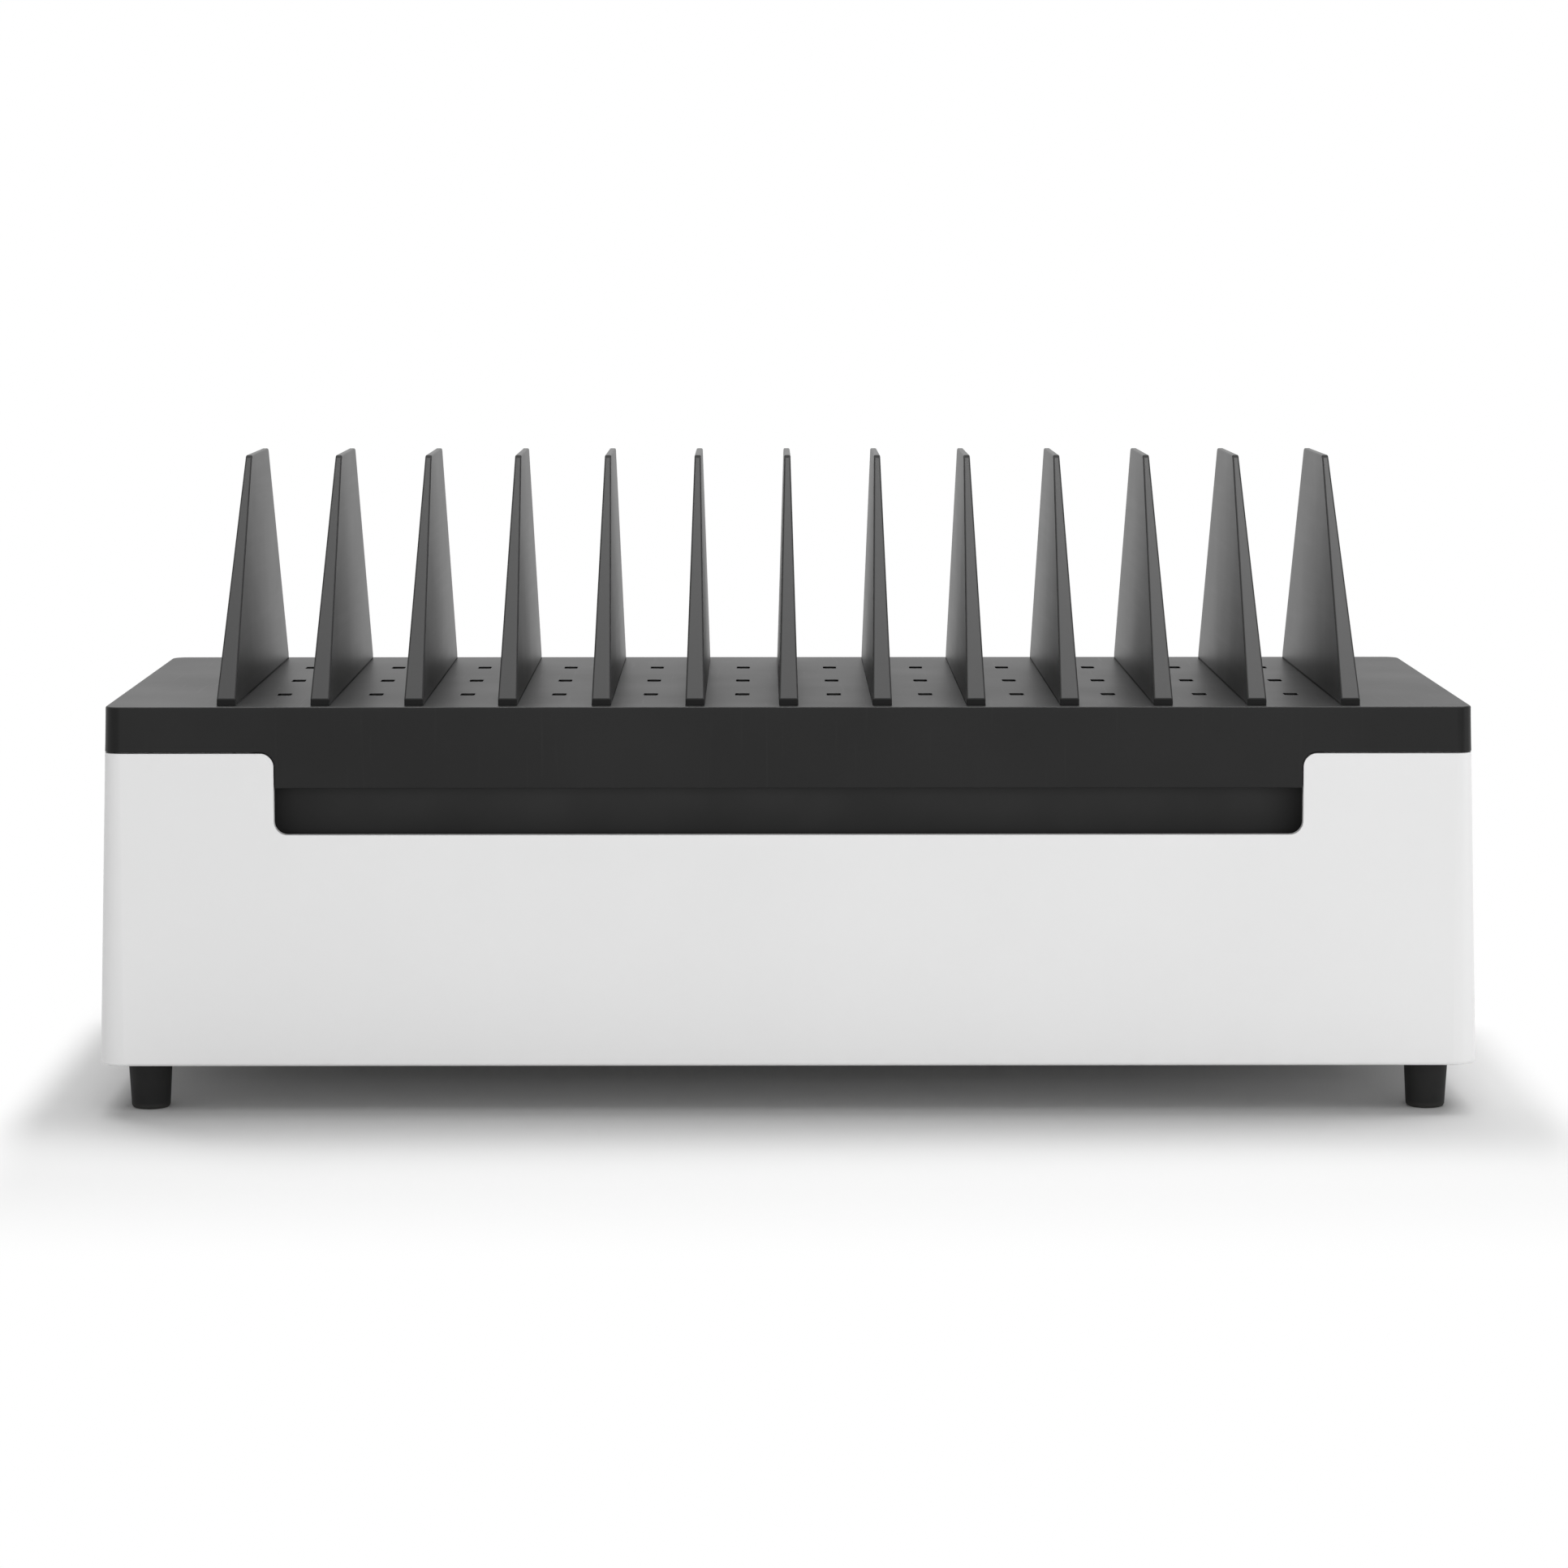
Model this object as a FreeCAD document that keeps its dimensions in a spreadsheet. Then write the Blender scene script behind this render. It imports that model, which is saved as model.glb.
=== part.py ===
import FreeCAD, Part
import math
import os
from types import SimpleNamespace

import Sketcher

# A desktop charging station: a white tub on four rubber feet, a black lid hinged at the rear
# that carries upright dividers, and a charger behind a cover inside the tub.
# X runs to the right, Y to the rear and Z up. The origin is on the floor, under the middle.

SIZES = {
    # shells
    "deck_width": 437.0,
    "deck_depth": 175.0,
    "foot_height": 15.8,
    "housing_height": 100.9,
    "lid_height": 14.7,
    "draft_angle": 1.75,
    "corner_round": 5.0,
    "shell_wall": 2.8,
    "floor_plate": 3.0,
    "deck_plate": 3.0,
    "deck_round": 0.6,
    "base_round": 1.0,
    "parting_gap": 0.4,
    "lip_wall": 1.2,
    "lip_height": 3.0,
    "lip_root": 4.5,
    "lip_bite": 0.3,
    "lip_break": 343.0,
    # front cut-out, and the apron of the lid that fills its upper part
    "cutout_width": 329.2,
    "cutout_round": 4.3,
    "slot_level": 90.4,
    "apron_level": 105.4,
    # bays, dividers and vents
    "bay_count": 12,
    "bay_pitch": 30.0,
    "divider_length": 165.0,
    "divider_height": 76.5,
    "divider_base": 6.2,
    "divider_tip": 2.1,
    "divider_toe": 2.0,
    "front_slant": 75.0,
    "back_slant": 38.8,
    "divider_round": 0.5,
    "shoulder_round": 2.0,
    "divider_screw_spacing": 100.0,
    "divider_screw_reach": 10.0,
    "vent_width": 4.6,
    "vent_length": 7.0,
    "vent_round": 1.0,
    "vent_spacing": 46.8,
    "rib_width": 1.8,
    "rib_height": 1.9,
    "rib_inner": 25.0,
    "rib_outer": 66.0,
    # feet
    "foot_top_radius": 7.1,
    "foot_base_radius": 6.2,
    "foot_edge_round": 1.2,
    "foot_inset": 15.1,
    "foot_step": 8.0,
    "foot_well": 3.55,
    "foot_post": 11.0,
    # rear hinge
    "hinge_offset": 150.0,
    "knuckle_radius": 3.0,
    "lid_knuckle": 18.0,
    "tub_knuckle": 10.0,
    "knuckle_gap": 0.4,
    "knuckle_room": 0.5,
    "pin_radius": 1.2,
    "running_gap": 0.05,
    # screws
    "screw_shank": 1.25,
    "screw_pilot": 1.3,
    "screw_hole": 1.6,
    "screw_head": 2.75,
    "head_height": 2.0,
    "post_radius": 4.0,
    "screw_reach": 14.0,
    "tip_room": 1.0,
    # cable trough behind the front slot
    "trough_half": 172.0,
    "trough_wall": 2.5,
    "trough_back": 68.0,
    "trough_drop": 3.5,
    "trough_gap": 0.3,
    "trough_top": 110.3,
    "notch_count": 6,
    "notch_pitch": 50.0,
    "notch_width": 8.0,
    "notch_depth": 6.0,
    "trough_post_inner": 60.0,
    "trough_post_outer": 160.0,
    "trough_post_depth": 77.0,
    # cover over the charger
    "cover_half": 200.0,
    "cover_wall": 2.0,
    "cover_front": 14.0,
    "cover_rear": 86.0,
    "cover_top": 66.0,
    "cover_post_side": 193.0,
    "cover_post_front": 6.0,
    "cover_post_rear": 70.0,
    "louvre_count": 12,
    "louvre_width": 3.0,
    "louvre_pitch": 12.0,
    "louvre_front": 30.0,
    "louvre_rear": 70.0,
    "louvre_shift": 15.0,
    "window_gap": 0.3,
    # port board
    "board_half": 182.0,
    "board_front": 10.5,
    "board_rear": 12.0,
    "board_level": 36.0,
    "board_thickness": 1.6,
    "board_post_radius": 3.0,
    "board_post_outer": 176.0,
    "board_post_inner": 60.0,
    "board_post_depth": 6.0,
    "port_width": 13.2,
    "port_height": 5.8,
    "port_length": 14.0,
    "port_wall": 0.5,
    "port_proud": 0.5,
    "port_end_wall": 1.5,
    "tongue_width": 11.0,
    "tongue_height": 1.8,
    "tongue_length": 9.0,
    "tongue_level": 3.6,
    "charge_block_left": 108.0,
    "charge_block_right": 124.0,
    "charge_block_front": 2.0,
    "charge_block_rear": 10.0,
    "charge_block_height": 9.0,
    "charge_entry_depth": 4.0,
    "charge_entry_level": 4.5,
    "charge_pitch": 8.0,
    "entry_width": 4.0,
    # power supply
    "supply_left": 110.0,
    "supply_right": 80.0,
    "supply_front": 18.0,
    "supply_rear": 78.0,
    "supply_height": 36.0,
    "supply_sheet": 1.5,
    "supply_pad": 3.0,
    "supply_screw_inset": 15.0,
    "supply_screw_margin": 10.0,
    "supply_board_level": 27.0,
    "supply_board_margin": 3.0,
    "supply_board_left": 106.0,
    "supply_pillar_inset": 4.0,
    "transformer_left": 40.0,
    "transformer_right": 4.0,
    "transformer_front": 34.0,
    "transformer_rear": 66.0,
    "transformer_height": 22.0,
    "coil_radius": 10.0,
    "coil_overhang": 6.0,
    "capacitor_place": 80.0,
    "capacitor_front": 38.0,
    "capacitor_pitch": 20.0,
    "capacitor_radius": 8.5,
    "capacitor_height": 24.0,
    "terminal_left": 64.0,
    "terminal_face": 78.0,
    "terminal_height": 13.0,
    "terminal_margin": 3.5,
    "terminal_pitch": 6.0,
    "terminal_front": 24.0,
    "terminal_level": 35.0,
    # mains inlet and switch, in a recess of the rear wall
    "recess_left": 95.0,
    "recess_right": 189.0,
    "recess_low": 27.0,
    "recess_high": 59.0,
    "recess_floor": 85.0,
    "recess_frame": 3.0,
    "recess_bite": 3.5,
    "opening_gap": 0.3,
    "rear_vent_count": 12,
    "rear_vent_pitch": 8.0,
    "rear_vent_width": 3.0,
    "rear_vent_round": 1.3,
    "rear_vent_shift": 106.0,
    "rear_vent_low": 31.0,
    "rear_vent_high": 55.0,
    "panel_thickness": 3.0,
    "power_level": 43.0,
    "inlet_centre": 128.0,
    "inlet_flange_width": 50.0,
    "inlet_flange_height": 24.0,
    "inlet_width": 27.4,
    "inlet_height": 19.6,
    "inlet_depth": 20.0,
    "socket_width": 24.4,
    "socket_height": 16.8,
    "socket_depth": 17.0,
    "flange_thickness": 2.0,
    "flange_round": 3.0,
    "socket_bevel": 4.0,
    "ear_spacing": 40.0,
    "blade_pitch": 7.0,
    "blade_offset": 2.0,
    "blade_width": 2.0,
    "blade_height": 4.0,
    "blade_setback": 4.5,
    "tab_end": 57.0,
    "switch_centre": 170.0,
    "bezel_width": 15.0,
    "bezel_height": 21.0,
    "bezel_round": 1.5,
    "switch_width": 13.0,
    "switch_height": 18.8,
    "switch_depth": 17.0,
    "well_width": 10.8,
    "well_height": 16.8,
    "well_depth": 15.0,
    "rocker_width": 10.4,
    "rocker_half": 6.9,
    "rocker_angle": 12.0,
    "rocker_crease": 4.5,
    "rocker_waist": 2.0,
    "rocker_keel": 6.0,
    "rocker_keel_half": 3.0,
    "pivot_depth": 83.0,
    "trunnion_radius": 1.5,
    "trunnion_setback": 0.2,
    "switch_tab_width": 4.8,
    "switch_tab_thickness": 0.8,
    "switch_tab_offset": 5.0,
    # wires inside the cover
    "mains_wire_radius": 1.1,
    "charge_wire_radius": 1.4,
    "mains_entry_run": 100.0,
    "live_in_depth": 46.0,
    "live_in_middle": 152.0,
    "live_in_sag": 4.0,
    "live_in_level": 39.5,
    "live_out_depth": 40.0,
    "live_out_middle": 136.0,
    "live_out_dip": 2.0,
    "live_out_level": 41.0,
    "negative_run": 96.0,
    "positive_run": 102.0,
    "charge_sweep": 7.0,
}

# Cutting shapes run past the faces that they open by this much, and right through by this much
PAST = 1.0
THROUGH = 240.0

doc = FreeCAD.newDocument("ChargingStation")
sheet = doc.addObject("Spreadsheet::Sheet", "Sizes")
for row, (alias, number) in enumerate(SIZES.items(), start=1):
    sheet.set(f"A{row}", alias)
    sheet.set(f"B{row}", str(number))
    sheet.setAlias(f"B{row}", alias)
doc.recompute()


class Length:
    """A size that carries its number and the sheet expression that gives it."""

    def __init__(self, number, text):
        self.number = number
        self.text = text

    def __add__(self, other):
        other = length(other)
        return Length(self.number + other.number, f"({self.text} + {other.text})")

    def __sub__(self, other):
        other = length(other)
        return Length(self.number - other.number, f"({self.text} - {other.text})")

    def __mul__(self, other):
        other = length(other)
        return Length(self.number * other.number, f"({self.text} * {other.text})")

    def __truediv__(self, other):
        other = length(other)
        return Length(self.number / other.number, f"({self.text} / {other.text})")

    def __neg__(self):
        return Length(-self.number, f"(-{self.text})")

    def __radd__(self, other):
        return length(other) + self

    def __rsub__(self, other):
        return length(other) - self

    def __rmul__(self, other):
        return length(other) * self


def length(value):
    """Give a plain number the same form as a size from the sheet."""
    if isinstance(value, Length):
        return value
    return Length(float(value), f"({float(value)})")


size = SimpleNamespace(**{alias: Length(float(sheet.get(alias)), f"Sizes.{alias}") for alias in SIZES})
slope = Length(math.tan(math.radians(size.draft_angle.number)), "tan(Sizes.draft_angle)")
bay_count = int(size.bay_count.number)

# Levels above the floor, and the planes that several pieces share
floor_under = size.foot_height
floor_top = floor_under + size.floor_plate
parting = size.foot_height + size.housing_height
rim = parting - size.parting_gap / 2
skirt = parting + size.parting_gap / 2
deck = parting + size.lid_height
deck_under = deck - size.deck_plate


def half_depth(level, inset=0.0):
    """Distance from the middle to the front or rear face of the leaning shells at a level."""
    return size.deck_depth / 2 + (deck - level) * slope - inset


def half_width(level, inset=0.0):
    """Distance from the middle to a side face of the leaning shells at a level."""
    return size.deck_width / 2 + (deck - level) * slope - inset


hinge_depth = half_depth(parting)
trough_floor = size.slot_level - size.trough_drop
trough_under = trough_floor - size.trough_wall
board_top = size.board_level + size.board_thickness
cover_under = size.cover_top - size.cover_wall
supply_low = floor_top + size.supply_pad
supply_top = supply_low + size.supply_height
supply_board_top = size.supply_board_level + size.board_thickness

nodes = []


def node(piece, label):
    """Register a finished sub-part under its own name."""
    piece.Label = label
    nodes.append(piece)
    return piece


def bind(item, prop, value):
    """Tie a property to the sheet."""
    item.setExpression(prop, length(value).text)


def numbered(stem, index):
    """A name with a two-digit number."""
    return f"{stem}_{index:02d}"


def bay_centre(index):
    """Middle of a bay, counted from 0 at the left."""
    return size.bay_pitch * (index - (bay_count - 1) / 2)


def row_of(pitch, count):
    """Places of an even row about the middle."""
    count = int(count.number)
    return [pitch * (index - (count - 1) / 2) for index in range(count)]


# Blocks, rods and what is made of them

def block(name, x, y, z):
    """A rectangular block between two values on each axis."""
    piece = doc.addObject("Part::Box", name)
    for prop, axis, (low, high) in zip(("Length", "Width", "Height"), "xyz", (x, y, z)):
        bind(piece, prop, length(high) - low)
        bind(piece, f"Placement.Base.{axis}", low)
    return piece


AXIS_TURNS = {
    "x": FreeCAD.Rotation(FreeCAD.Vector(0, 1, 0), 90),
    "y": FreeCAD.Rotation(FreeCAD.Vector(1, 0, 0), -90),
    "z": FreeCAD.Rotation(),
}


def rod(name, axis, centre, span, radius):
    """A round bar along one axis; centre gives the other two coordinates in order."""
    piece = doc.addObject("Part::Cylinder", name)
    piece.Placement = FreeCAD.Placement(FreeCAD.Vector(), AXIS_TURNS[axis])
    bind(piece, "Radius", radius)
    bind(piece, "Height", length(span[1]) - span[0])
    corner = list(centre)
    corner.insert("xyz".index(axis), span[0])
    for letter, value in zip("xyz", corner):
        bind(piece, f"Placement.Base.{letter}", value)
    return piece


def join(name, pieces):
    """Several pieces moulded as one."""
    piece = doc.addObject("Part::MultiFuse", name)
    piece.Shapes = pieces
    piece.Refine = True
    return piece


def cut(name, base, tools):
    """A piece with others taken out of it."""
    piece = doc.addObject("Part::Cut", name)
    piece.Base = base
    piece.Tool = tools[0] if len(tools) == 1 else join(f"{name}_tools", tools)
    return piece


def group(name, pieces):
    """Separate solids that share one node."""
    piece = doc.addObject("Part::Compound", name)
    piece.Links = pieces
    return piece


def around(centre, width):
    """The span of a given width about a centre."""
    return (length(centre) - length(width) / 2, length(centre) + length(width) / 2)


def screw(name, axis, centre, seat, tip):
    """A pan-head screw: its head is seated at one level, and its shank runs to the tip."""
    away = 1 if length(tip).number < length(seat).number else -1
    head_end = length(seat) + away * size.head_height
    head_span = (seat, head_end) if away > 0 else (head_end, seat)
    shank_span = (tip, seat) if away > 0 else (seat, tip)
    head = rod(f"{name}_head", axis, centre, head_span, size.screw_head)
    shank = rod(f"{name}_shank", axis, centre, shank_span, size.screw_shank)
    return join(name, [head, shank])


# Bodies made from sketches

def new_body(name):
    return doc.addObject("PartDesign::Body", name)


def new_sketch(body, role, level=None):
    """A sketch on one of the body's own origin planes, or raised above it."""
    sketch = body.newObject("Sketcher::SketchObject", f"{body.Name}_sketch")
    plane = next(item for item in body.Origin.OriginFeatures if item.Role == role)
    sketch.AttachmentSupport = [(plane, "")]
    sketch.MapMode = "FlatFace"
    if level is not None:
        bind(sketch, "AttachmentOffset.Base.z", level)
    return sketch


def pin_point(sketch, geometry, position, x, y):
    """Hold a point of a sketch at two sizes from the sheet."""
    for kind, value, axis in (("DistanceX", length(x), -2), ("DistanceY", length(y), -1)):
        if value.number == 0.0:
            sketch.addConstraint(Sketcher.Constraint("PointOnObject", geometry, position, axis))
        else:
            index = sketch.addConstraint(Sketcher.Constraint(kind, -1, 1, geometry, position, value.number))
            bind(sketch, f"Constraints[{index}]", value)


def circle(sketch, x, y, radius):
    """A circle held at its centre."""
    centre = FreeCAD.Vector(length(x).number, length(y).number, 0)
    index = sketch.addGeometry(Part.Circle(centre, FreeCAD.Vector(0, 0, 1), length(radius).number))
    pin_point(sketch, index, 3, x, y)
    held = sketch.addConstraint(Sketcher.Constraint("Radius", index, length(radius).number))
    bind(sketch, f"Constraints[{held}]", radius)


def outline(sketch, corners):
    """A closed outline through corners (x, y) or, square corners only, (x, y, radius)."""
    points = [(length(c[0]), length(c[1]), length(c[2]) if len(c) > 2 else None) for c in corners]
    ends = []
    for index, (x, y, radius) in enumerate(points):
        before = points[index - 1]
        after = points[(index + 1) % len(points)]
        if radius is None:
            ends.append(((x, y), (x, y), None))
            continue
        into = (sign(x.number - before[0].number), sign(y.number - before[1].number))
        out = (sign(after[0].number - x.number), sign(after[1].number - y.number))
        first = (x - into[0] * radius, y - into[1] * radius)
        last = (x + out[0] * radius, y + out[1] * radius)
        centre = (first[0] + out[0] * radius, first[1] + out[1] * radius)
        left_turn = into[0] * out[1] - into[1] * out[0] > 0
        ends.append((first, last, (centre, radius, left_turn)))
    lines = []
    for index in range(len(ends)):
        start = ends[index][1]
        stop = ends[(index + 1) % len(ends)][0]
        line = sketch.addGeometry(Part.LineSegment(flat(start), flat(stop)))
        pin_point(sketch, line, 1, *start)
        lines.append(line)
    for index, (first, last, corner) in enumerate(ends):
        incoming = lines[index - 1]
        outgoing = lines[index]
        if corner is None:
            sketch.addConstraint(Sketcher.Constraint("Coincident", incoming, 2, outgoing, 1))
            continue
        centre, radius, left_turn = corner
        pin_point(sketch, incoming, 2, *first)
        start, stop = (first, last) if left_turn else (last, first)
        spokes = [flat(point) - flat(centre) for point in (start, stop)]
        angles = [math.atan2(spoke.y, spoke.x) for spoke in spokes]
        if angles[1] < angles[0]:
            angles[1] += 2 * math.pi
        ring = Part.Circle(flat(centre), FreeCAD.Vector(0, 0, 1), radius.number)
        arc = sketch.addGeometry(Part.ArcOfCircle(ring, *angles))
        sketch.addConstraint(Sketcher.Constraint("Coincident", incoming, 2, arc, 1 if left_turn else 2))
        sketch.addConstraint(Sketcher.Constraint("Coincident", outgoing, 1, arc, 2 if left_turn else 1))
        held = sketch.addConstraint(Sketcher.Constraint("Radius", arc, radius.number))
        bind(sketch, f"Constraints[{held}]", radius)


def sign(number):
    return (number > 1e-9) - (number < -1e-9)


def flat(pair):
    """A pair of sizes as a point on the sketch."""
    return FreeCAD.Vector(pair[0].number, pair[1].number, 0)


def pad(body, sketch, distance, taper=None, both_ways=False):
    """Extrude a sketch along its normal, or half each way."""
    feature = body.newObject("PartDesign::Pad", f"{body.Name}_pad")
    feature.Profile = sketch
    bind(feature, "Length", distance)
    if taper is not None:
        bind(feature, "TaperAngle", taper)
    if both_ways:
        feature.SideType = "Symmetric"
    return feature


def pocket(body, sketch, distance, along_normal=False, both_ways=False):
    """Cut a sketch out of the body and make sure that it took something away."""
    doc.recompute()
    before = body.Shape.Volume
    feature = body.newObject("PartDesign::Pocket", f"{body.Name}_pocket")
    feature.Profile = sketch
    bind(feature, "Length", distance)
    feature.Reversed = along_normal
    if both_ways:
        feature.SideType = "Symmetric"
    doc.recompute()
    if body.Shape.Volume >= before:
        raise RuntimeError(f"{feature.Name} cuts nothing")
    return feature


def round_edges(body, radius, wanted):
    """Round the edges of the body's last feature that pass a test."""
    doc.recompute()
    base = body.Tip
    names = [f"Edge{i}" for i, edge in enumerate(base.Shape.Edges, start=1) if wanted(edge.BoundBox)]
    feature = body.newObject("PartDesign::Fillet", f"{body.Name}_round")
    feature.Base = (base, names)
    bind(feature, "Radius", radius)
    return feature


def drafted_block(name, inset, low, high):
    """A block with round corners whose sides lean in with the shells, set in from their outer face."""
    body = new_body(name)
    x = half_width(low, inset)
    y = half_depth(low, inset)
    corner = size.corner_round + (deck - low) * slope - inset
    sketch = new_sketch(body, "XY_Plane", low)
    outline(sketch, [(-x, -y, corner), (x, -y, corner), (x, y, corner), (-x, y, corner)])
    pad(body, sketch, length(high) - low, taper=-size.draft_angle)
    return body


def plate(name, corners, rear, thickness):
    """A plate of a given outline, as X and Z, with its rear face at a depth."""
    body = new_body(name)
    sketch = new_sketch(body, "XZ_Plane", -rear)
    outline(sketch, corners)
    pad(body, sketch, thickness)
    return body


def round_rectangle(centre, width, height, radius):
    """The outline of a plate with round corners."""
    left, right = around(centre[0], width)
    low, high = around(centre[1], height)
    return [(left, low, radius), (right, low, radius), (right, high, radius), (left, high, radius)]


# Edges are matched to a place within this distance
NEAR = 0.01


def at_level(level, across=False):
    """A test for edges that lie flat at a level, or only those that also run straight across."""
    height = length(level).number

    def wanted(box):
        flat_there = abs(box.ZMin - height) < NEAR and abs(box.ZMax - height) < NEAR
        return flat_there and (box.YLength < NEAR or not across)

    return wanted


# Rear hinge: two sets of knuckles on one axis

def hinge_spans(centre):
    """Along the axis: the lid's knuckle, the tub's two knuckles and the whole hinge."""
    lid_span = around(centre, size.lid_knuckle)
    left = (lid_span[0] - size.knuckle_gap - size.tub_knuckle, lid_span[0] - size.knuckle_gap)
    right = (lid_span[1] + size.knuckle_gap, lid_span[1] + size.knuckle_gap + size.tub_knuckle)
    return lid_span, (left, right), (left[0], right[1])


hinges = {side: hinge_spans(size.hinge_offset * way) for side, way in (("left", -1), ("right", 1))}
hinge_axis = (hinge_depth, parting)
room_radius = size.knuckle_radius + size.knuckle_room
bore_radius = size.pin_radius + size.running_gap


# White tub

foot_x = half_width(floor_under) - size.foot_inset
foot_y = half_depth(floor_under) - size.foot_inset
foot_places = {
    "front_left": (-foot_x, -foot_y),
    "front_right": (foot_x, -foot_y),
    "rear_left": (-foot_x, foot_y),
    "rear_right": (foot_x, foot_y),
}
foot_post_top = floor_top + size.foot_post
foot_screw_tip = foot_post_top - 3 * size.tip_room
trough_places = [(size.trough_post_outer * s, -size.trough_post_depth) for s in (-1, 1)]
trough_places += [(size.trough_post_inner * s, -size.trough_post_depth) for s in (-1, 1)]
cover_places = [(size.cover_post_side * s, y) for s in (-1, 1)
                for y in (-size.cover_post_front, size.cover_post_rear)]
board_places = [(x * s, size.board_post_depth) for x in (size.board_post_outer, size.board_post_inner)
                for s in (-1, 1)]
supply_columns = (size.supply_screw_inset - size.supply_left, size.supply_right - size.supply_screw_inset)
supply_rows = (size.supply_front + size.supply_screw_margin, size.supply_rear - size.supply_screw_margin)
supply_places = [(x, y) for x in supply_columns for y in supply_rows]


def tub():
    outer = drafted_block("tub_outer", 0.0, floor_under, rim)
    round_edges(outer, size.base_round, at_level(floor_under))
    inner = drafted_block("tub_inner", size.shell_wall, floor_top, parting)
    shell = cut("tub_shell", outer, [inner, front_cutout()])

    lip_inset = size.shell_wall + size.parting_gap
    lip_low = rim - size.lip_root
    lip_top = rim + size.lip_height
    root = drafted_block("lip_root", size.shell_wall - size.lip_bite, lip_low, rim)
    ring = drafted_block("lip_ring", lip_inset, lip_low, lip_top)
    hollow = drafted_block("lip_hollow", lip_inset + size.lip_wall, lip_low, lip_top)
    lip_break = block("lip_break", around(0.0, size.lip_break), (-THROUGH, -size.trough_back),
                      (lip_low, deck))
    lip = cut("lip", join("lip_whole", [root, ring]), [hollow, lip_break])

    posts = []
    post_sets = (
        ("foot_post", foot_places.values(), foot_post_top, size.post_radius),
        ("trough_post", trough_places, trough_under, size.post_radius),
        ("cover_post", cover_places, cover_under, size.post_radius),
        ("board_post", board_places, size.board_level, size.board_post_radius),
        ("supply_post", supply_places, supply_low, size.post_radius),
    )
    for stem, places, top, radius in post_sets:
        for index, place in enumerate(places, start=1):
            posts.append(rod(numbered(stem, index), "z", place, (floor_top - PAST, top), radius))

    recess_block = block(
        "recess_block",
        (size.recess_left - size.recess_frame, size.recess_right + size.recess_frame),
        (size.recess_floor - size.panel_thickness, size.recess_floor + size.recess_bite),
        (size.recess_low - size.recess_frame, size.recess_high + size.recess_frame))
    knuckles = []
    rooms = []
    bores = []
    for side, (lid_span, tub_spans, whole) in hinges.items():
        for end, span in zip(("outer", "inner"), tub_spans):
            knuckles.append(rod(f"tub_knuckle_{side}_{end}", "x", hinge_axis, span, size.knuckle_radius))
        room_span = (lid_span[0] - size.knuckle_gap, lid_span[1] + size.knuckle_gap)
        rooms.append(rod(f"lid_knuckle_room_{side}", "x", hinge_axis, room_span, room_radius))
        bore_span = (whole[0] - PAST, whole[1] + PAST)
        bores.append(rod(f"tub_bore_{side}", "x", hinge_axis, bore_span, bore_radius))

    cleared = cut("tub_cleared", join("tub_walls", [shell, lip]), rooms)
    solid = join("tub_solid", [cleared, recess_block] + knuckles + posts)
    holes = bores + power_openings() + rear_vents() + tub_screw_holes()
    return node(cut("tub_cut", solid, holes), "housing")


def front_cutout():
    """The wide notch in the front wall, with round corners below and above."""
    body = new_body("front_cutout")
    x = size.cutout_width / 2
    r = size.cutout_round
    far = x + 2 * r
    above = deck
    sketch = new_sketch(body, "XZ_Plane")
    outline(sketch, [
        (-x, size.slot_level, r), (x, size.slot_level, r), (x, rim, r), (far, rim),
        (far, above), (-far, above), (-far, rim), (-x, rim, r)])
    pad(body, sketch, THROUGH)
    return body


def power_openings():
    """The rear recess and the two openings in its floor."""
    panel = (size.recess_floor - size.panel_thickness - PAST, size.recess_floor + PAST)
    fit = 2 * size.opening_gap
    recess = block("recess", (size.recess_left, size.recess_right), (size.recess_floor, THROUGH),
                   (size.recess_low, size.recess_high))
    inlet = block("inlet_opening", around(size.inlet_centre, size.inlet_width + fit), panel,
                  around(size.power_level, size.inlet_height + fit))
    switch = block("switch_opening", around(size.switch_centre, size.switch_width + fit), panel,
                   around(size.power_level, size.switch_height + fit))
    return [recess, inlet, switch] + [
        rod(numbered("ear_pilot", index), "y", place, panel, size.screw_pilot)
        for index, place in enumerate(ear_places(), start=1)]


def rear_vents():
    """Upright slots with round ends in the rear wall, behind the charger."""
    slots = []
    level = (size.rear_vent_low + size.rear_vent_high) / 2
    height = size.rear_vent_high - size.rear_vent_low
    for index, x in enumerate(row_of(size.rear_vent_pitch, size.rear_vent_count), start=1):
        corners = round_rectangle((x - size.rear_vent_shift, level), size.rear_vent_width, height,
                                  size.rear_vent_round)
        slots.append(plate(numbered("rear_vent", index), corners, THROUGH, THROUGH - size.cover_rear))
    return slots


def ear_places():
    """The two fixing screws of the inlet, as X and Z."""
    return [(size.inlet_centre + way * size.ear_spacing / 2, size.power_level) for way in (-1, 1)]


def tub_screw_holes():
    """Pilot holes in the posts, and through holes under the feet and the supply."""
    holes = []
    for index, place in enumerate(foot_places.values(), start=1):
        span = (floor_under - PAST, foot_screw_tip + size.tip_room)
        holes.append(rod(numbered("foot_pilot", index), "z", place, span, size.screw_pilot))
    for stem, places, top in (("trough_pilot", trough_places, trough_under),
                              ("cover_pilot", cover_places, cover_under),
                              ("board_pilot", board_places, size.board_level)):
        for index, place in enumerate(places, start=1):
            span = (top - size.screw_reach, top + PAST)
            holes.append(rod(numbered(stem, index), "z", place, span, size.screw_pilot))
    for index, place in enumerate(supply_places, start=1):
        span = (floor_under - PAST, supply_low + PAST)
        holes.append(rod(numbered("supply_hole", index), "z", place, span, size.screw_hole))
    return holes


# Black lid with its deck, skirt and front apron

divider_count = bay_count + 1
screw_rows = (-size.divider_screw_spacing / 2, size.divider_screw_spacing / 2)


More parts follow.
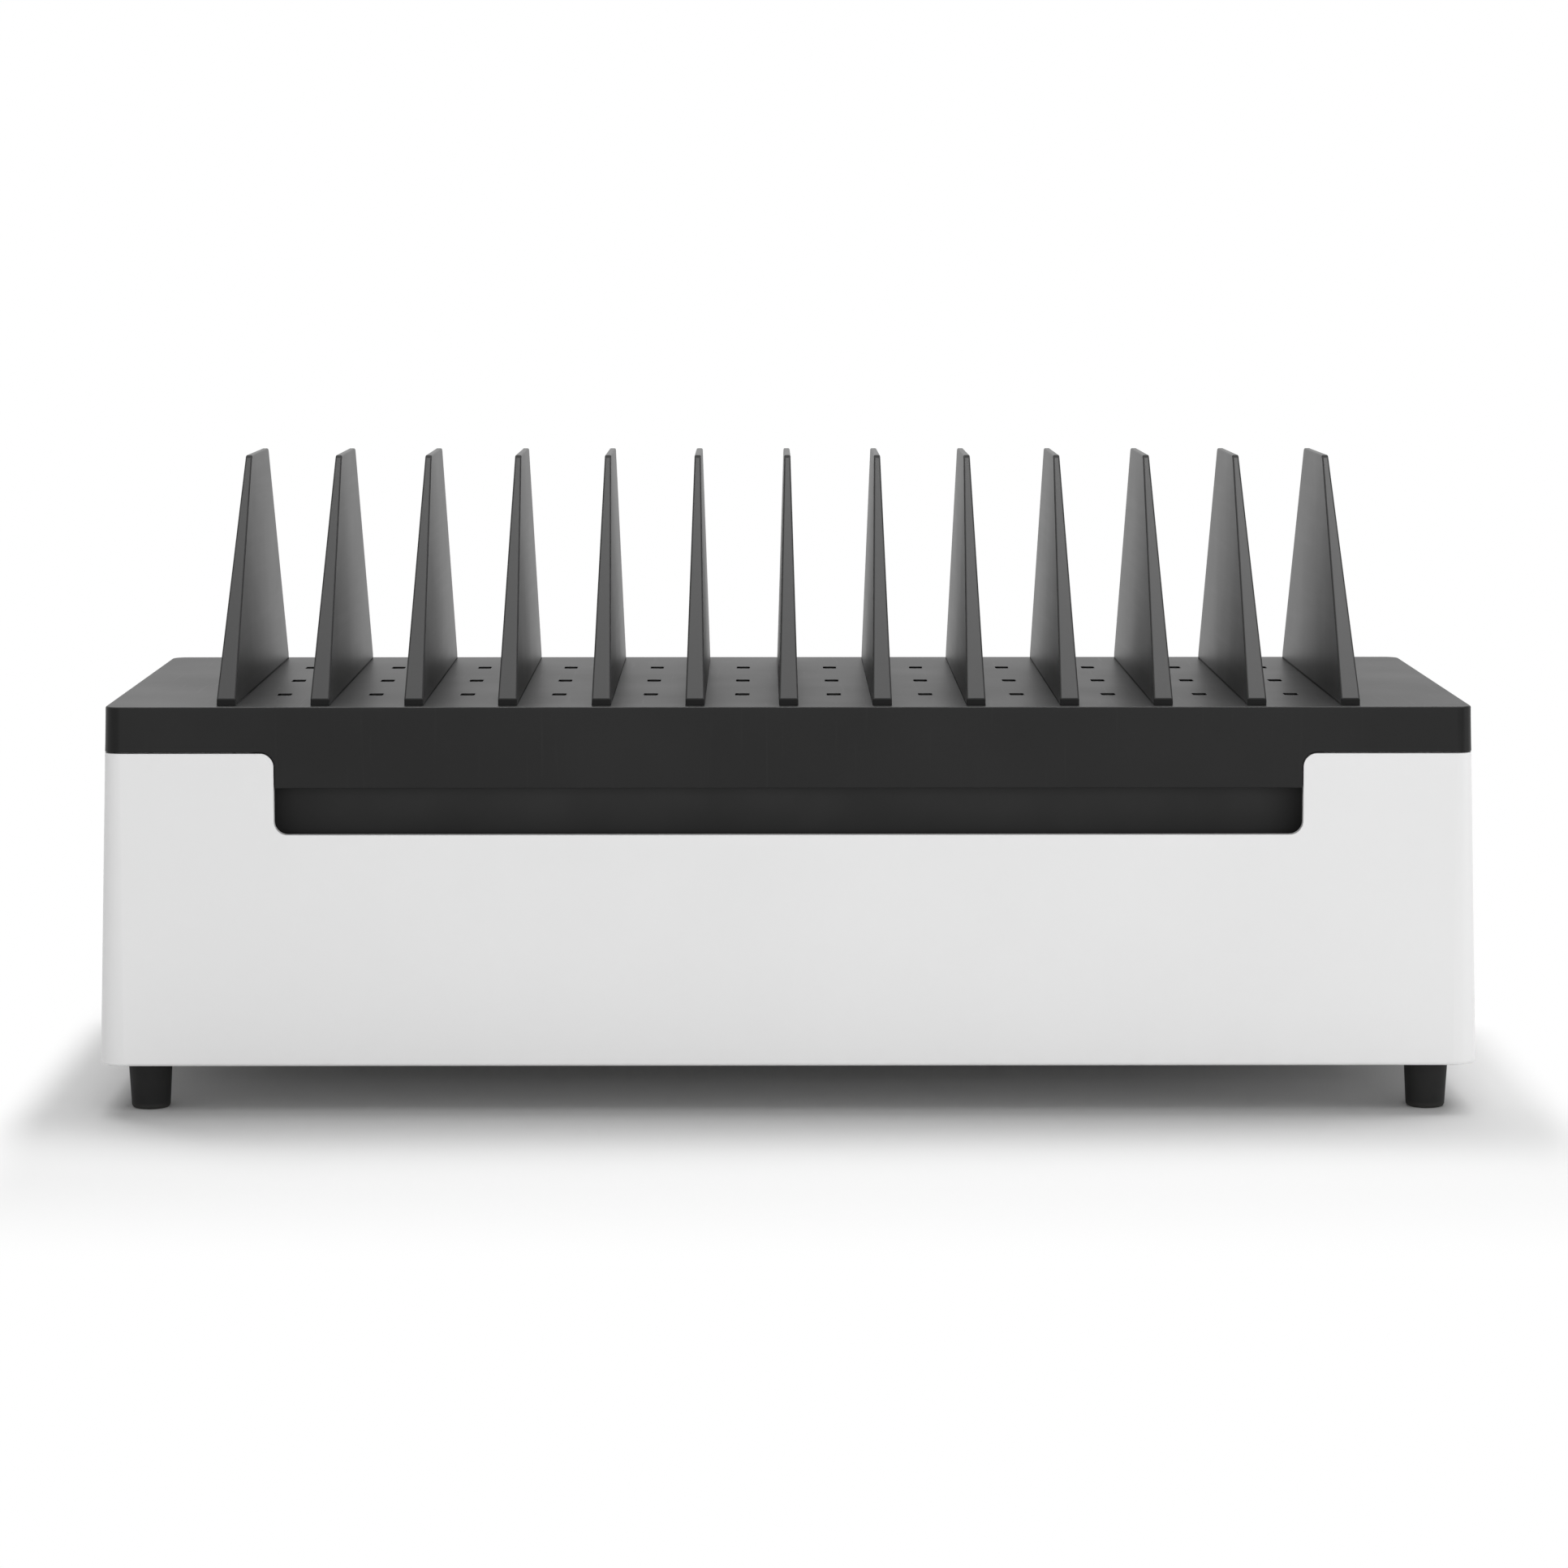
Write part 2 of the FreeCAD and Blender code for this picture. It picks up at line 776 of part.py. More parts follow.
def divider_place(index):
    """Middle of a divider, counted from 0 at the left."""
    return size.bay_pitch * (index - bay_count / 2)


def lid():
    below = size.apron_level - PAST
    deck_span = (deck_under - PAST, deck + PAST)
    outer = drafted_block("lid_outer", 0.0, size.apron_level, deck)
    round_edges(outer, size.deck_round, at_level(deck))
    inner = drafted_block("lid_inner", size.shell_wall, below, deck_under)
    behind = block("behind_apron", around(0.0, size.cutout_width + 4 * size.cutout_round),
                   (-size.trough_post_depth, THROUGH), (below, skirt))
    tools = [inner, behind, apron_side("left", -1), apron_side("right", 1)] + deck_vents()
    for index in range(divider_count):
        for row, y in enumerate(screw_rows, start=1):
            name = f"deck_hole_{index + 1:02d}_{row}"
            place = (divider_place(index), y)
            tools.append(rod(name, "z", place, deck_span, size.screw_hole))
    knuckles = []
    bores = []
    for side, (lid_span, tub_spans, whole) in hinges.items():
        left = (whole[0] - size.knuckle_gap, lid_span[0])
        right = (lid_span[1], whole[1] + size.knuckle_gap)
        for end, span in zip(("outer", "inner"), (left, right)):
            tools.append(rod(f"tub_knuckle_room_{side}_{end}", "x", hinge_axis, span, room_radius))
        knuckles.append(rod(f"lid_knuckle_{side}", "x", hinge_axis, lid_span, size.knuckle_radius))
        bore_span = (lid_span[0] - PAST, lid_span[1] + PAST)
        bores.append(rod(f"lid_bore_{side}", "x", hinge_axis, bore_span, bore_radius))
    ribs = []
    rib_end = half_width(deck, size.shell_wall / 2)
    for index, y in enumerate((-size.rib_outer, -size.rib_inner, size.rib_inner, size.rib_outer), start=1):
        ribs.append(block(numbered("deck_rib", index), (-rib_end, rib_end), around(y, size.rib_width),
                          (deck_under - size.rib_height, deck_under + PAST)))
    solid = join("lid_solid", [cut("lid_shell", outer, tools)] + ribs + knuckles)
    return node(cut("lid_cut", solid, bores), "lid")


def deck_vents():
    """Three short slots through the deck in each bay."""
    slots = []
    for index in range(bay_count):
        for row in (-1, 0, 1):
            body = new_body(f"vent_{index + 1:02d}_{row + 2}")
            sketch = new_sketch(body, "XY_Plane", deck_under - PAST)
            outline(sketch, round_rectangle((bay_centre(index), row * size.vent_spacing), size.vent_width,
                                            size.vent_length, size.vent_round))
            pad(body, sketch, size.deck_plate + 2 * PAST)
            slots.append(body)
    return slots


def apron_side(side, way):
    """What is taken off beside the apron, with the round inner corner that clears the tub."""
    body = new_body(f"apron_side_{side}")
    x = size.cutout_width / 2 - size.parting_gap
    far = half_width(floor_under)
    below = size.apron_level - PAST
    corner = size.cutout_round + size.parting_gap
    sketch = new_sketch(body, "XZ_Plane")
    outline(sketch, [(way * x, below), (way * x, skirt, corner), (way * far, skirt), (way * far, below)])
    pad(body, sketch, THROUGH, both_ways=True)
    return body


# Upright dividers

def divider(index):
    """A plate that thins towards its top, with a sloping front edge and a steeper rear edge."""
    body = new_body(numbered("divider_body", index + 1))
    half = size.divider_length / 2
    top = size.divider_height
    over = top + PAST
    front = new_sketch(body, "XZ_Plane")
    outline(front, [(-size.divider_base / 2, 0.0), (size.divider_base / 2, 0.0),
                    (size.divider_tip / 2, top), (-size.divider_tip / 2, top)])
    pad(body, front, size.divider_length, both_ways=True)
    for way, slant in ((-1, size.front_slant), (1, size.back_slant)):
        edge = new_sketch(body, "YZ_Plane")
        foot = way * half
        shoulder = way * (half - slant)
        outline(edge, [(foot, size.divider_toe), (shoulder, top), (shoulder, over),
                       (way * (half + PAST), over), (way * (half + PAST), size.divider_toe)])
        pocket(body, edge, 2 * size.divider_base, both_ways=True)
    round_edges(body, size.shoulder_round, at_level(top, across=True))
    round_edges(body, size.divider_round, lambda box: box.ZMax > NEAR)
    pilots = new_sketch(body, "XY_Plane")
    for y in screw_rows:
        circle(pilots, 0.0, y, size.screw_pilot)
    pocket(body, pilots, size.divider_screw_reach + size.tip_room, along_normal=True)
    bind(body, "Placement.Base.x", divider_place(index))
    bind(body, "Placement.Base.z", deck)
    return node(body, numbered("divider", index + 1))


def divider_screws():
    screws = []
    for index in range(divider_count):
        for row, y in enumerate(screw_rows, start=1):
            name = f"divider_screw_{index + 1:02d}_{row}"
            tip = deck + size.divider_screw_reach
            screws.append(screw(name, "z", (divider_place(index), y), deck_under, tip))
    return node(group("divider_screw_group", screws), "divider_screws")


# Feet and hinge pins

def foot(name, place):
    """A tapered rubber foot with a stepped hole for its screw."""
    body = new_body(f"foot_body_{name}")
    profile = new_sketch(body, "XZ_Plane")
    well = size.foot_well
    outline(profile, [(size.screw_hole, size.foot_step), (well, size.foot_step), (well, 0.0),
                      (size.foot_base_radius, 0.0), (size.foot_top_radius, size.foot_height),
                      (size.screw_hole, size.foot_height)])
    turned = body.newObject("PartDesign::Revolution", f"{body.Name}_turned")
    turned.Profile = profile
    turned.ReferenceAxis = (profile, ["V_Axis"])
    turned.Angle = 360.0
    outer = size.foot_base_radius.number
    round_edges(body, size.foot_edge_round,
                lambda box: abs(box.ZMax) < NEAR and abs(box.XMax - outer) < NEAR)
    bind(body, "Placement.Base.x", place[0])
    bind(body, "Placement.Base.y", place[1])
    return node(body, f"foot_{name}")


def foot_screws():
    screws = [screw(f"foot_screw_{name}", "z", place, size.foot_step, foot_screw_tip)
              for name, place in foot_places.items()]
    return node(group("foot_screw_group", screws), "foot_screws")


def hinge_pin(side):
    whole = hinges[side][2]
    return node(rod(f"hinge_rod_{side}", "x", hinge_axis, whole, size.pin_radius), f"hinge_pin_{side}")


# Cable trough behind the front slot, with a comb of notches along its rear wall

def cable_trough():
    half = size.trough_half
    wall = size.trough_wall
    front = size.trough_gap - half_depth(size.trough_top, size.shell_wall)
    back = -size.trough_back
    walls = [
        block("trough_floor", (-half, half), (front, back), (trough_under, trough_floor)),
        block("trough_rear", (-half, half), (back - wall, back), (trough_under, size.trough_top)),
        block("trough_left", (-half, -half + wall), (front, back), (trough_under, size.trough_top)),
        block("trough_right", (half - wall, half), (front, back), (trough_under, size.trough_top)),
    ]
    floor_span = (trough_under - PAST, trough_floor + PAST)
    cuts = [rod(numbered("trough_hole", index), "z", place, floor_span, size.screw_hole)
            for index, place in enumerate(trough_places, start=1)]
    notch_span = (size.trough_top - size.notch_depth, size.trough_top + PAST)
    for index, centre in enumerate(row_of(size.notch_pitch, size.notch_count), start=1):
        cuts.append(block(numbered("comb_notch", index), around(centre, size.notch_width),
                          (back - wall - PAST, back + PAST), notch_span))
    return node(cut("trough_cut", join("trough_walls", walls), cuts), "cable_trough")


def post_screws():
    """The like screws that go down through the trough, the cover and the port board into posts."""
    screws = []
    for stem, places, seat in (("trough_screw", trough_places, trough_floor),
                               ("cover_screw", cover_places, size.cover_top),
                               ("board_screw", board_places, board_top)):
        for index, place in enumerate(places, start=1):
            tip = seat - size.screw_reach
            screws.append(screw(numbered(stem, index), "z", place, seat, tip))
    return node(group("post_screw_group", screws), "post_screws")


# Cover over the charger, with a window for each port and louvres above the supply

def electronics_cover():
    half = size.cover_half
    wall = size.cover_wall
    front = -size.cover_front
    walls = [
        block("cover_plate", (-half, half), (front, size.cover_rear), (cover_under, size.cover_top)),
        block("cover_face", (-half, half), (front, front + wall), (floor_top, size.cover_top)),
        block("cover_left", (-half, -half + wall), (front, size.cover_rear), (floor_top, size.cover_top)),
        block("cover_right", (half - wall, half), (front, size.cover_rear), (floor_top, size.cover_top)),
    ]
    gap = size.window_gap
    plate_span = (cover_under - PAST, size.cover_top + PAST)
    cuts = []
    for index in range(bay_count):
        cuts.append(block(numbered("port_window", index + 1),
                          around(bay_centre(index), size.port_width + 2 * gap),
                          (front - PAST, front + wall + PAST),
                          (board_top - gap, board_top + size.port_height + gap)))
    cuts += louvres("louvre", plate_span)
    for index, place in enumerate(cover_places, start=1):
        cuts.append(rod(numbered("cover_hole", index), "z", place, plate_span, size.screw_hole))
    return node(cut("cover_cut", join("cover_walls", walls), cuts), "electronics_cover")


def louvres(stem, span):
    """A row of vent slots above the supply, cut through the plate that lies in the span."""
    row = row_of(size.louvre_pitch, size.louvre_count)
    return [block(numbered(stem, index), around(centre - size.louvre_shift, size.louvre_width),
                  (size.louvre_front, size.louvre_rear), span) for index, centre in enumerate(row, start=1)]


# Port board with one charging port for each bay

def port_board():
    plate = block("board_plate", (-size.board_half, size.board_half), (-size.board_front, size.board_rear),
                  (size.board_level, board_top))
    board_span = (size.board_level - PAST, board_top + PAST)
    holes = [rod(numbered("board_hole", index), "z", place, board_span, size.screw_hole)
             for index, place in enumerate(board_places, start=1)]
    return node(cut("board_cut", plate, holes), "usb_board")


port_mouth = -size.cover_front - size.port_proud
port_back = port_mouth + size.port_length
port_hollow_end = port_back - size.port_end_wall


def port_shell(index):
    """A folded metal shell, open at its mouth."""
    centre = bay_centre(index)
    wall = size.port_wall
    outer = block(numbered("port_outer", index + 1), around(centre, size.port_width),
                  (port_mouth, port_back), (board_top, board_top + size.port_height))
    hollow = block(numbered("port_hollow", index + 1), around(centre, size.port_width - 2 * wall),
                   (port_mouth - PAST, port_hollow_end),
                   (board_top + wall, board_top + size.port_height - wall))
    return node(cut(numbered("port_shell", index + 1), outer, [hollow]), numbered("usb_port", index + 1))


def port_tongues():
    """The contact tongues inside the ports."""
    depth = (port_hollow_end - size.tongue_length, port_hollow_end)
    height = around(board_top + size.tongue_level, size.tongue_height)
    tongues = []
    for index in range(bay_count):
        width = around(bay_centre(index), size.tongue_width)
        tongues.append(block(numbered("tongue", index + 1), width, depth, height))
    return node(group("tongue_group", tongues), "usb_tongues")


charge_middle = (size.charge_block_left + size.charge_block_right) / 2
charge_entry_x = {
    "negative": charge_middle - size.charge_pitch / 2,
    "positive": charge_middle + size.charge_pitch / 2,
}
charge_entry_level = board_top + size.charge_entry_level
charge_seat = size.charge_block_rear - size.charge_entry_depth


def board_terminal():
    """The block that takes the two charging wires."""
    body = block("board_terminal_block", (size.charge_block_left, size.charge_block_right),
                 (size.charge_block_front, size.charge_block_rear),
                 (board_top, board_top + size.charge_block_height))
    depth = (charge_seat, size.charge_block_rear + PAST)
    entries = [block(f"charge_entry_{name}", around(x, size.entry_width), depth,
                     around(charge_entry_level, size.entry_width)) for name, x in charge_entry_x.items()]
    return node(cut("board_terminal_cut", body, entries), "board_terminal")


# Power supply: a folded tray and cover round a board

terminal_names = ("charge_negative", "charge_positive", "live", "earth", "neutral")
terminal_y = {name: size.terminal_front + index * size.terminal_pitch
              for index, name in enumerate(terminal_names)}
terminal_seat = size.terminal_face - size.entry_width
supply_board_x = (-size.supply_board_left, size.terminal_face)
supply_board_y = (size.supply_front + size.supply_board_margin, size.supply_rear - size.supply_board_margin)
supply_board_places = [(x, y)
                       for x in (supply_board_x[0] + size.supply_pillar_inset,
                                 size.terminal_left - size.supply_pillar_inset)
                       for y in (supply_board_y[0] + size.supply_pillar_inset,
                                 supply_board_y[1] - size.supply_pillar_inset)]


def supply_tray():
    sheet_wall = size.supply_sheet
    x = (-size.supply_left, size.supply_right)
    wall_z = (supply_low, supply_top - sheet_wall)
    walls = [
        block("tray_floor", x, (size.supply_front, size.supply_rear), (supply_low, supply_low + sheet_wall)),
        block("tray_front", x, (size.supply_front, size.supply_front + sheet_wall), wall_z),
        block("tray_rear", x, (size.supply_rear - sheet_wall, size.supply_rear), wall_z),
    ]
    for index, place in enumerate(supply_board_places, start=1):
        span = (supply_low, size.supply_board_level)
        walls.append(rod(numbered("tray_pillar", index), "z", place, span, size.board_post_radius))
    hole_span = (supply_low - PAST, supply_low + sheet_wall + PAST)
    holes = [rod(numbered("tray_hole", index), "z", place, hole_span, size.screw_pilot)
             for index, place in enumerate(supply_places, start=1)]
    return node(cut("tray_cut", join("tray_walls", walls), holes), "supply_tray")


def supply_cover():
    sheet_wall = size.supply_sheet
    inner_y = (size.supply_front + sheet_wall, size.supply_rear - sheet_wall)
    plate = block("supply_cover_plate", (-size.supply_left, size.supply_right),
                  (size.supply_front, size.supply_rear), (supply_top - sheet_wall, supply_top))
    end = block("supply_cover_end", (-size.supply_left, -size.supply_left + sheet_wall), inner_y,
                (supply_low + sheet_wall, supply_top))
    slots = louvres("supply_slot", (supply_top - sheet_wall - PAST, supply_top + PAST))
    return node(cut("supply_cover_cut", join("supply_cover_walls", [plate, end]), slots), "supply_cover")


def supply_board():
    plate = block("supply_board_plate", supply_board_x, supply_board_y,
                  (size.supply_board_level, supply_board_top))
    return node(plate, "supply_board")


def supply_transformer():
    core = block("transformer_core", (-size.transformer_left, -size.transformer_right),
                 (size.transformer_front, size.transformer_rear),
                 (supply_board_top, supply_board_top + size.transformer_height))
    centre = (-(size.transformer_left + size.transformer_right) / 2,
              supply_board_top + size.transformer_height / 2)
    span = (size.transformer_front - size.coil_overhang, size.transformer_rear + size.coil_overhang)
    coil = rod("transformer_coil", "y", centre, span, size.coil_radius)
    return node(join("transformer_whole", [core, coil]), "supply_transformer")


def supply_capacitors():
    span = (supply_board_top, supply_board_top + size.capacitor_height)
    rows = (size.capacitor_front, size.capacitor_front + size.capacitor_pitch)
    cans = [rod(numbered("capacitor", index), "z", (-size.capacitor_place, y), span, size.capacitor_radius)
            for index, y in enumerate(rows, start=1)]
    return node(group("capacitor_group", cans), "supply_capacitors")


def supply_terminals():
    """A row of screw terminals that face the inlet."""
    y = (size.terminal_front - size.terminal_margin, terminal_y["neutral"] + size.terminal_margin)
    body = block("terminal_body", (size.terminal_left, size.terminal_face), y,
                 (supply_board_top, supply_board_top + size.terminal_height))
    entries = [block(f"terminal_entry_{name}", (terminal_seat, size.terminal_face + PAST),
                     around(centre, size.entry_width), around(size.terminal_level, size.entry_width))
               for name, centre in terminal_y.items()]
    return node(cut("terminal_cut", body, entries), "supply_terminals")


def supply_screws():
    tip = supply_low + size.supply_sheet + size.tip_room
    screws = [screw(numbered("supply_screw", index), "z", place, floor_under, tip)
              for index, place in enumerate(supply_places, start=1)]
    return node(group("supply_screw_group", screws), "supply_screws")


# Mains inlet, its blades and screws

inlet_back = size.recess_floor - size.inlet_depth
flange_face = size.recess_floor + size.flange_thickness
blades = {
    "live": (size.inlet_centre + size.blade_pitch, size.power_level - size.blade_offset),
    "earth": (size.inlet_centre, size.power_level + size.blade_offset),
    "neutral": (size.inlet_centre - size.blade_pitch, size.power_level - size.blade_offset),
}


def socket_outline():
    """The mouth of the inlet, with its two upper corners cut off."""
    left, right = around(size.inlet_centre, size.socket_width)
    low, high = around(size.power_level, size.socket_height)
    bevel = size.socket_bevel
    return [(left, low), (right, low), (right, high - bevel), (right - bevel, high), (left + bevel, high),
            (left, high - bevel)]


def power_inlet():
    centre = (size.inlet_centre, size.power_level)
    flange = plate("inlet_flange", round_rectangle(centre, size.inlet_flange_width, size.inlet_flange_height,
                                                   size.flange_round), flange_face, size.flange_thickness)
    shell = block("inlet_shell", around(size.inlet_centre, size.inlet_width), (inlet_back, flange_face),
                  around(size.power_level, size.inlet_height))
    cuts = [plate("inlet_socket", socket_outline(), flange_face + PAST, size.socket_depth + PAST)]
    slack = 2 * size.running_gap
    for name, (x, z) in blades.items():
        cuts.append(block(f"blade_hole_{name}", around(x, size.blade_width + slack),
                          (inlet_back - PAST, flange_face), around(z, size.blade_height + slack)))
    for index, place in enumerate(ear_places(), start=1):
        span = (size.recess_floor - PAST, flange_face + PAST)
        cuts.append(rod(numbered("ear_hole", index), "y", place, span, size.screw_hole))
    return node(cut("inlet_cut", join("inlet_whole", [flange, shell]), cuts), "power_inlet")


def inlet_blades():
    depth = (size.tab_end, flange_face - size.blade_setback)
    strips = [block(f"blade_{name}", around(x, size.blade_width), depth, around(z, size.blade_height))
              for name, (x, z) in blades.items()]
    return node(group("blade_group", strips), "inlet_blades")


def inlet_screws():
    tip = size.recess_floor - size.panel_thickness - size.tip_room
    screws = [screw(numbered("inlet_screw", index), "y", place, flange_face, tip)
              for index, place in enumerate(ear_places(), start=1)]
    return node(group("inlet_screw_group", screws), "inlet_screws")


# Rocker switch: frame, tabs and rocker

switch_back = size.recess_floor - size.switch_depth
switch_tabs = {
    "live_in": size.power_level - size.switch_tab_offset,
    "live_out": size.power_level + size.switch_tab_offset,
}


def switch_frame():
    centre = (size.switch_centre, size.power_level)
    bezel = plate("switch_bezel", round_rectangle(centre, size.bezel_width, size.bezel_height,
                                                  size.bezel_round), flange_face, size.flange_thickness)
    shell = block("switch_shell", around(size.switch_centre, size.switch_width), (switch_back, flange_face),
                  around(size.power_level, size.switch_height))
    well = block("switch_well", around(size.switch_centre, size.well_width),
                 (flange_face - size.well_depth, flange_face + PAST),
                 around(size.power_level, size.well_height))
    pivots = rod("switch_pivots", "x", (size.pivot_depth, size.power_level),
                 around(size.switch_centre, size.switch_width + PAST),
                 size.trunnion_radius + size.running_gap)
    return node(cut("switch_cut", join("switch_whole", [bezel, shell]), [well, pivots]), "switch_frame")


def switch_contacts():
    tabs = [block(f"switch_tab_{name}", around(size.switch_centre, size.switch_tab_width),
                  (size.tab_end, switch_back), around(z, size.switch_tab_thickness))
            for name, z in switch_tabs.items()]
    return node(group("switch_tab_group", tabs), "switch_contacts")


def rocker():
    """A rocker with a shallow V face, pressed in at its lower end."""
    body = new_body("rocker_body")
    half = size.rocker_half
    crease = size.rocker_crease
    lean = Length(math.tan(math.radians(size.rocker_angle.number)), "tan(Sizes.rocker_angle)")
    horn = crease + half * lean
    keel = -size.rocker_keel
    waist = -size.rocker_waist
    shape = new_sketch(body, "YZ_Plane")
    outline(shape, [(keel, -size.rocker_keel_half), (waist, -half), (horn, -half), (crease, 0.0),
                    (horn, half), (waist, half), (keel, size.rocker_keel_half)])
    pad(body, shape, size.rocker_width, both_ways=True)
    pivot = new_sketch(body, "YZ_Plane")
    circle(pivot, 0.0, 0.0, size.trunnion_radius)
    pad(body, pivot, size.switch_width - 2 * size.trunnion_setback, both_ways=True)
    tilt = FreeCAD.Rotation(FreeCAD.Vector(-1, 0, 0), size.rocker_angle.number)
    body.Placement = FreeCAD.Placement(FreeCAD.Vector(), tilt)
    bind(body, "Placement.Rotation.Angle", size.rocker_angle)
    bind(body, "Placement.Base.x", size.switch_centre)
    bind(body, "Placement.Base.y", size.pivot_depth)
    bind(body, "Placement.Base.z", size.power_level)
    return node(body, "power_rocker")


# Wires inside the cover

# Share of the shorter straight run that each bend of a wire may take
BEND_SHARE = 0.45


def wire(label, points, radius):
    """A round wire along straight runs joined by tangent arcs, each as large as its runs allow."""
    places = [FreeCAD.Vector(*(length(value).number for value in point)) for point in points]
    edges = []
    start = places[0]
    for before, corner, after in zip(places, places[1:], places[2:]):
        into = (before - corner).normalize()
        out = (after - corner).normalize()
        turn = math.pi - into.getAngle(out)
        trim = BEND_SHARE * min((before - corner).Length, (after - corner).Length)
        bend = trim / math.tan(turn / 2)
        first = corner + into * trim
        last = corner + out * trim
        inward = (into + out).normalize()
        middle = corner + inward * (math.hypot(bend, trim) - bend)
        edges.append(Part.LineSegment(start, first).toShape())
        edges.append(Part.Arc(first, middle, last).toShape())
        start = last
    edges.append(Part.LineSegment(start, places[-1]).toShape())
    path = Part.Wire(edges)
    section = Part.Wire(Part.Circle(places[0], places[1] - places[0], length(radius).number).toShape())
    piece = doc.addObject("Part::Feature", f"{label}_run")
    piece.Shape = path.makePipeShell([section], True, True)
    print(f"{label}: {path.Length:.1f} mm long")
    return node(piece, label)


def terminal_run(name):
    """The last two points of a mains wire, square into its terminal."""
    y = terminal_y[name]
    return [(size.mains_entry_run, y, size.terminal_level), (terminal_seat, y, size.terminal_level)]


def mains_wires():
    tab = size.tab_end
    radius = size.mains_wire_radius
    for name in ("neutral", "earth"):
        x, z = blades[name]
        wire(f"{name}_wire", [(x, tab, z), (x, terminal_y[name], z)] + terminal_run(name), radius)
    x, z = blades["live"]
    depth = size.live_in_depth
    low_tab = switch_tabs["live_in"]
    wire("live_in_wire", [
        (x, tab, z), (x, depth, z), (size.live_in_middle, depth - size.live_in_sag, size.live_in_level),
        (size.switch_centre, depth, low_tab), (size.switch_centre, tab, low_tab)], radius)
    high_tab = switch_tabs["live_out"]
    wire("live_out_wire", [
        (size.switch_centre, tab, high_tab), (size.switch_centre, size.live_out_depth, high_tab),
        (size.live_out_middle, terminal_y["live"] - size.live_out_dip, size.live_out_level),
    ] + terminal_run("live"), radius)


def charge_wires():
    level = size.terminal_level
    for name, run in (("negative", size.negative_run), ("positive", size.positive_run)):
        y = terminal_y[f"charge_{name}"]
        x = charge_entry_x[name]
        wire(f"charge_{name}_wire", [
            (terminal_seat, y, level), (run, y, level), (x, y - size.charge_sweep, charge_entry_level),
            (x, charge_seat, charge_entry_level)], size.charge_wire_radius)


tub()
lid()
for number in range(divider_count):
    divider(number)
divider_screws()
for name, place in foot_places.items():
    foot(name, place)
foot_screws()
for side in hinges:
    hinge_pin(side)
cable_trough()
electronics_cover()
port_board()
post_screws()
for number in range(bay_count):
    port_shell(number)
port_tongues()
board_terminal()
supply_tray()
supply_cover()
supply_board()
supply_transformer()
supply_capacitors()
supply_terminals()
supply_screws()
power_inlet()
inlet_blades()
inlet_screws()
switch_frame()
switch_contacts()
rocker()
mains_wires()
charge_wires()
doc.recompute()

for item in doc.Objects:
    if "Invalid" in item.State or "Error" in item.State:
        raise RuntimeError(f"{item.Name} ({item.Label}) failed: {item.State}")
for piece in nodes:
    if piece.Shape.isNull() or not piece.Shape.isValid():
        raise RuntimeError(f"{piece.Label} has no valid shape")

os.makedirs("parts", exist_ok=True)
for piece in nodes:
    piece.Shape.exportStep(f"parts/{piece.Label}.step")
print(len(nodes), "sub-parts written")
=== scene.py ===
# %% [markdown]
# # A desktop charging station
# This lesson dresses a finished construction model for a product picture. The construction comes as
# a fixed frame: every solid already has its place, its size and its joints. What is left for us is
# what the eye reads: the camera, the light, the finish of each plastic and metal, and the small
# parts that a plain solid lacks, such as the crosses in the screw heads.

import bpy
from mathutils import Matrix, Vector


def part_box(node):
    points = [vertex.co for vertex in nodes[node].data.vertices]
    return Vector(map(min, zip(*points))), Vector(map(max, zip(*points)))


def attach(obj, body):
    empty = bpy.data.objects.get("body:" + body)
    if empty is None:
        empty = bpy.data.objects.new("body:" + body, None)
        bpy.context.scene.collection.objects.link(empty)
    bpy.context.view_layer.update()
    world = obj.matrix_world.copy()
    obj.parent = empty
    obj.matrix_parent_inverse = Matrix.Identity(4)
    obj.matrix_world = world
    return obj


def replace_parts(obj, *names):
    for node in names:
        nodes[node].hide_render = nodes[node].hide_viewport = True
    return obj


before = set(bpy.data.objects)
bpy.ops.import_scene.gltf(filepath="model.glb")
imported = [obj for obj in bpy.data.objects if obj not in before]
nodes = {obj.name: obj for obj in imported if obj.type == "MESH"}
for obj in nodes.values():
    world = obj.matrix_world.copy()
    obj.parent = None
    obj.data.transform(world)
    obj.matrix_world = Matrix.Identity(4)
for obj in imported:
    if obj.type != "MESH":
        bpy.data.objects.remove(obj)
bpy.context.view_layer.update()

import math
import random

import bmesh
import bpy
from mathutils import Matrix, Vector

scene = bpy.context.scene
MM = 0.001

# %% [markdown]
# ## Camera
# The picture was taken from the front, a little above the lid, with a long lens: the sides of the
# tub almost vanish, and the deck is a thin strip. The place, tilt and lens below were found by
# matching corners of the solids to the same corners in the picture. A long lens from far away keeps
# the dividers nearly parallel, which a wide lens from nearby would not.

# %% Set up the camera
CAMERA_PLACE = Vector((-0.00893, -1.5291, 0.27968))
CAMERA_DOWN = math.radians(6.844)
CAMERA_RIGHT = math.radians(0.294)
PICTURE_SIDE = 1932
FOCAL_PIXELS = 5595.64
SENSOR = 36.0

lens = bpy.data.cameras.new("product_lens")
lens.sensor_width = SENSOR
lens.lens = FOCAL_PIXELS / PICTURE_SIDE * SENSOR
lens.clip_start = 0.05
lens.clip_end = 60.0
camera = bpy.data.objects.new("product_camera", lens)
camera.location = CAMERA_PLACE
camera.rotation_euler = (math.pi / 2 - CAMERA_DOWN, 0.0, -CAMERA_RIGHT)
scene.collection.objects.link(camera)
scene.camera = camera
scene.view_settings.view_transform = "Standard"
print(f"lens {lens.lens:.1f} mm at {camera.location[:]}")

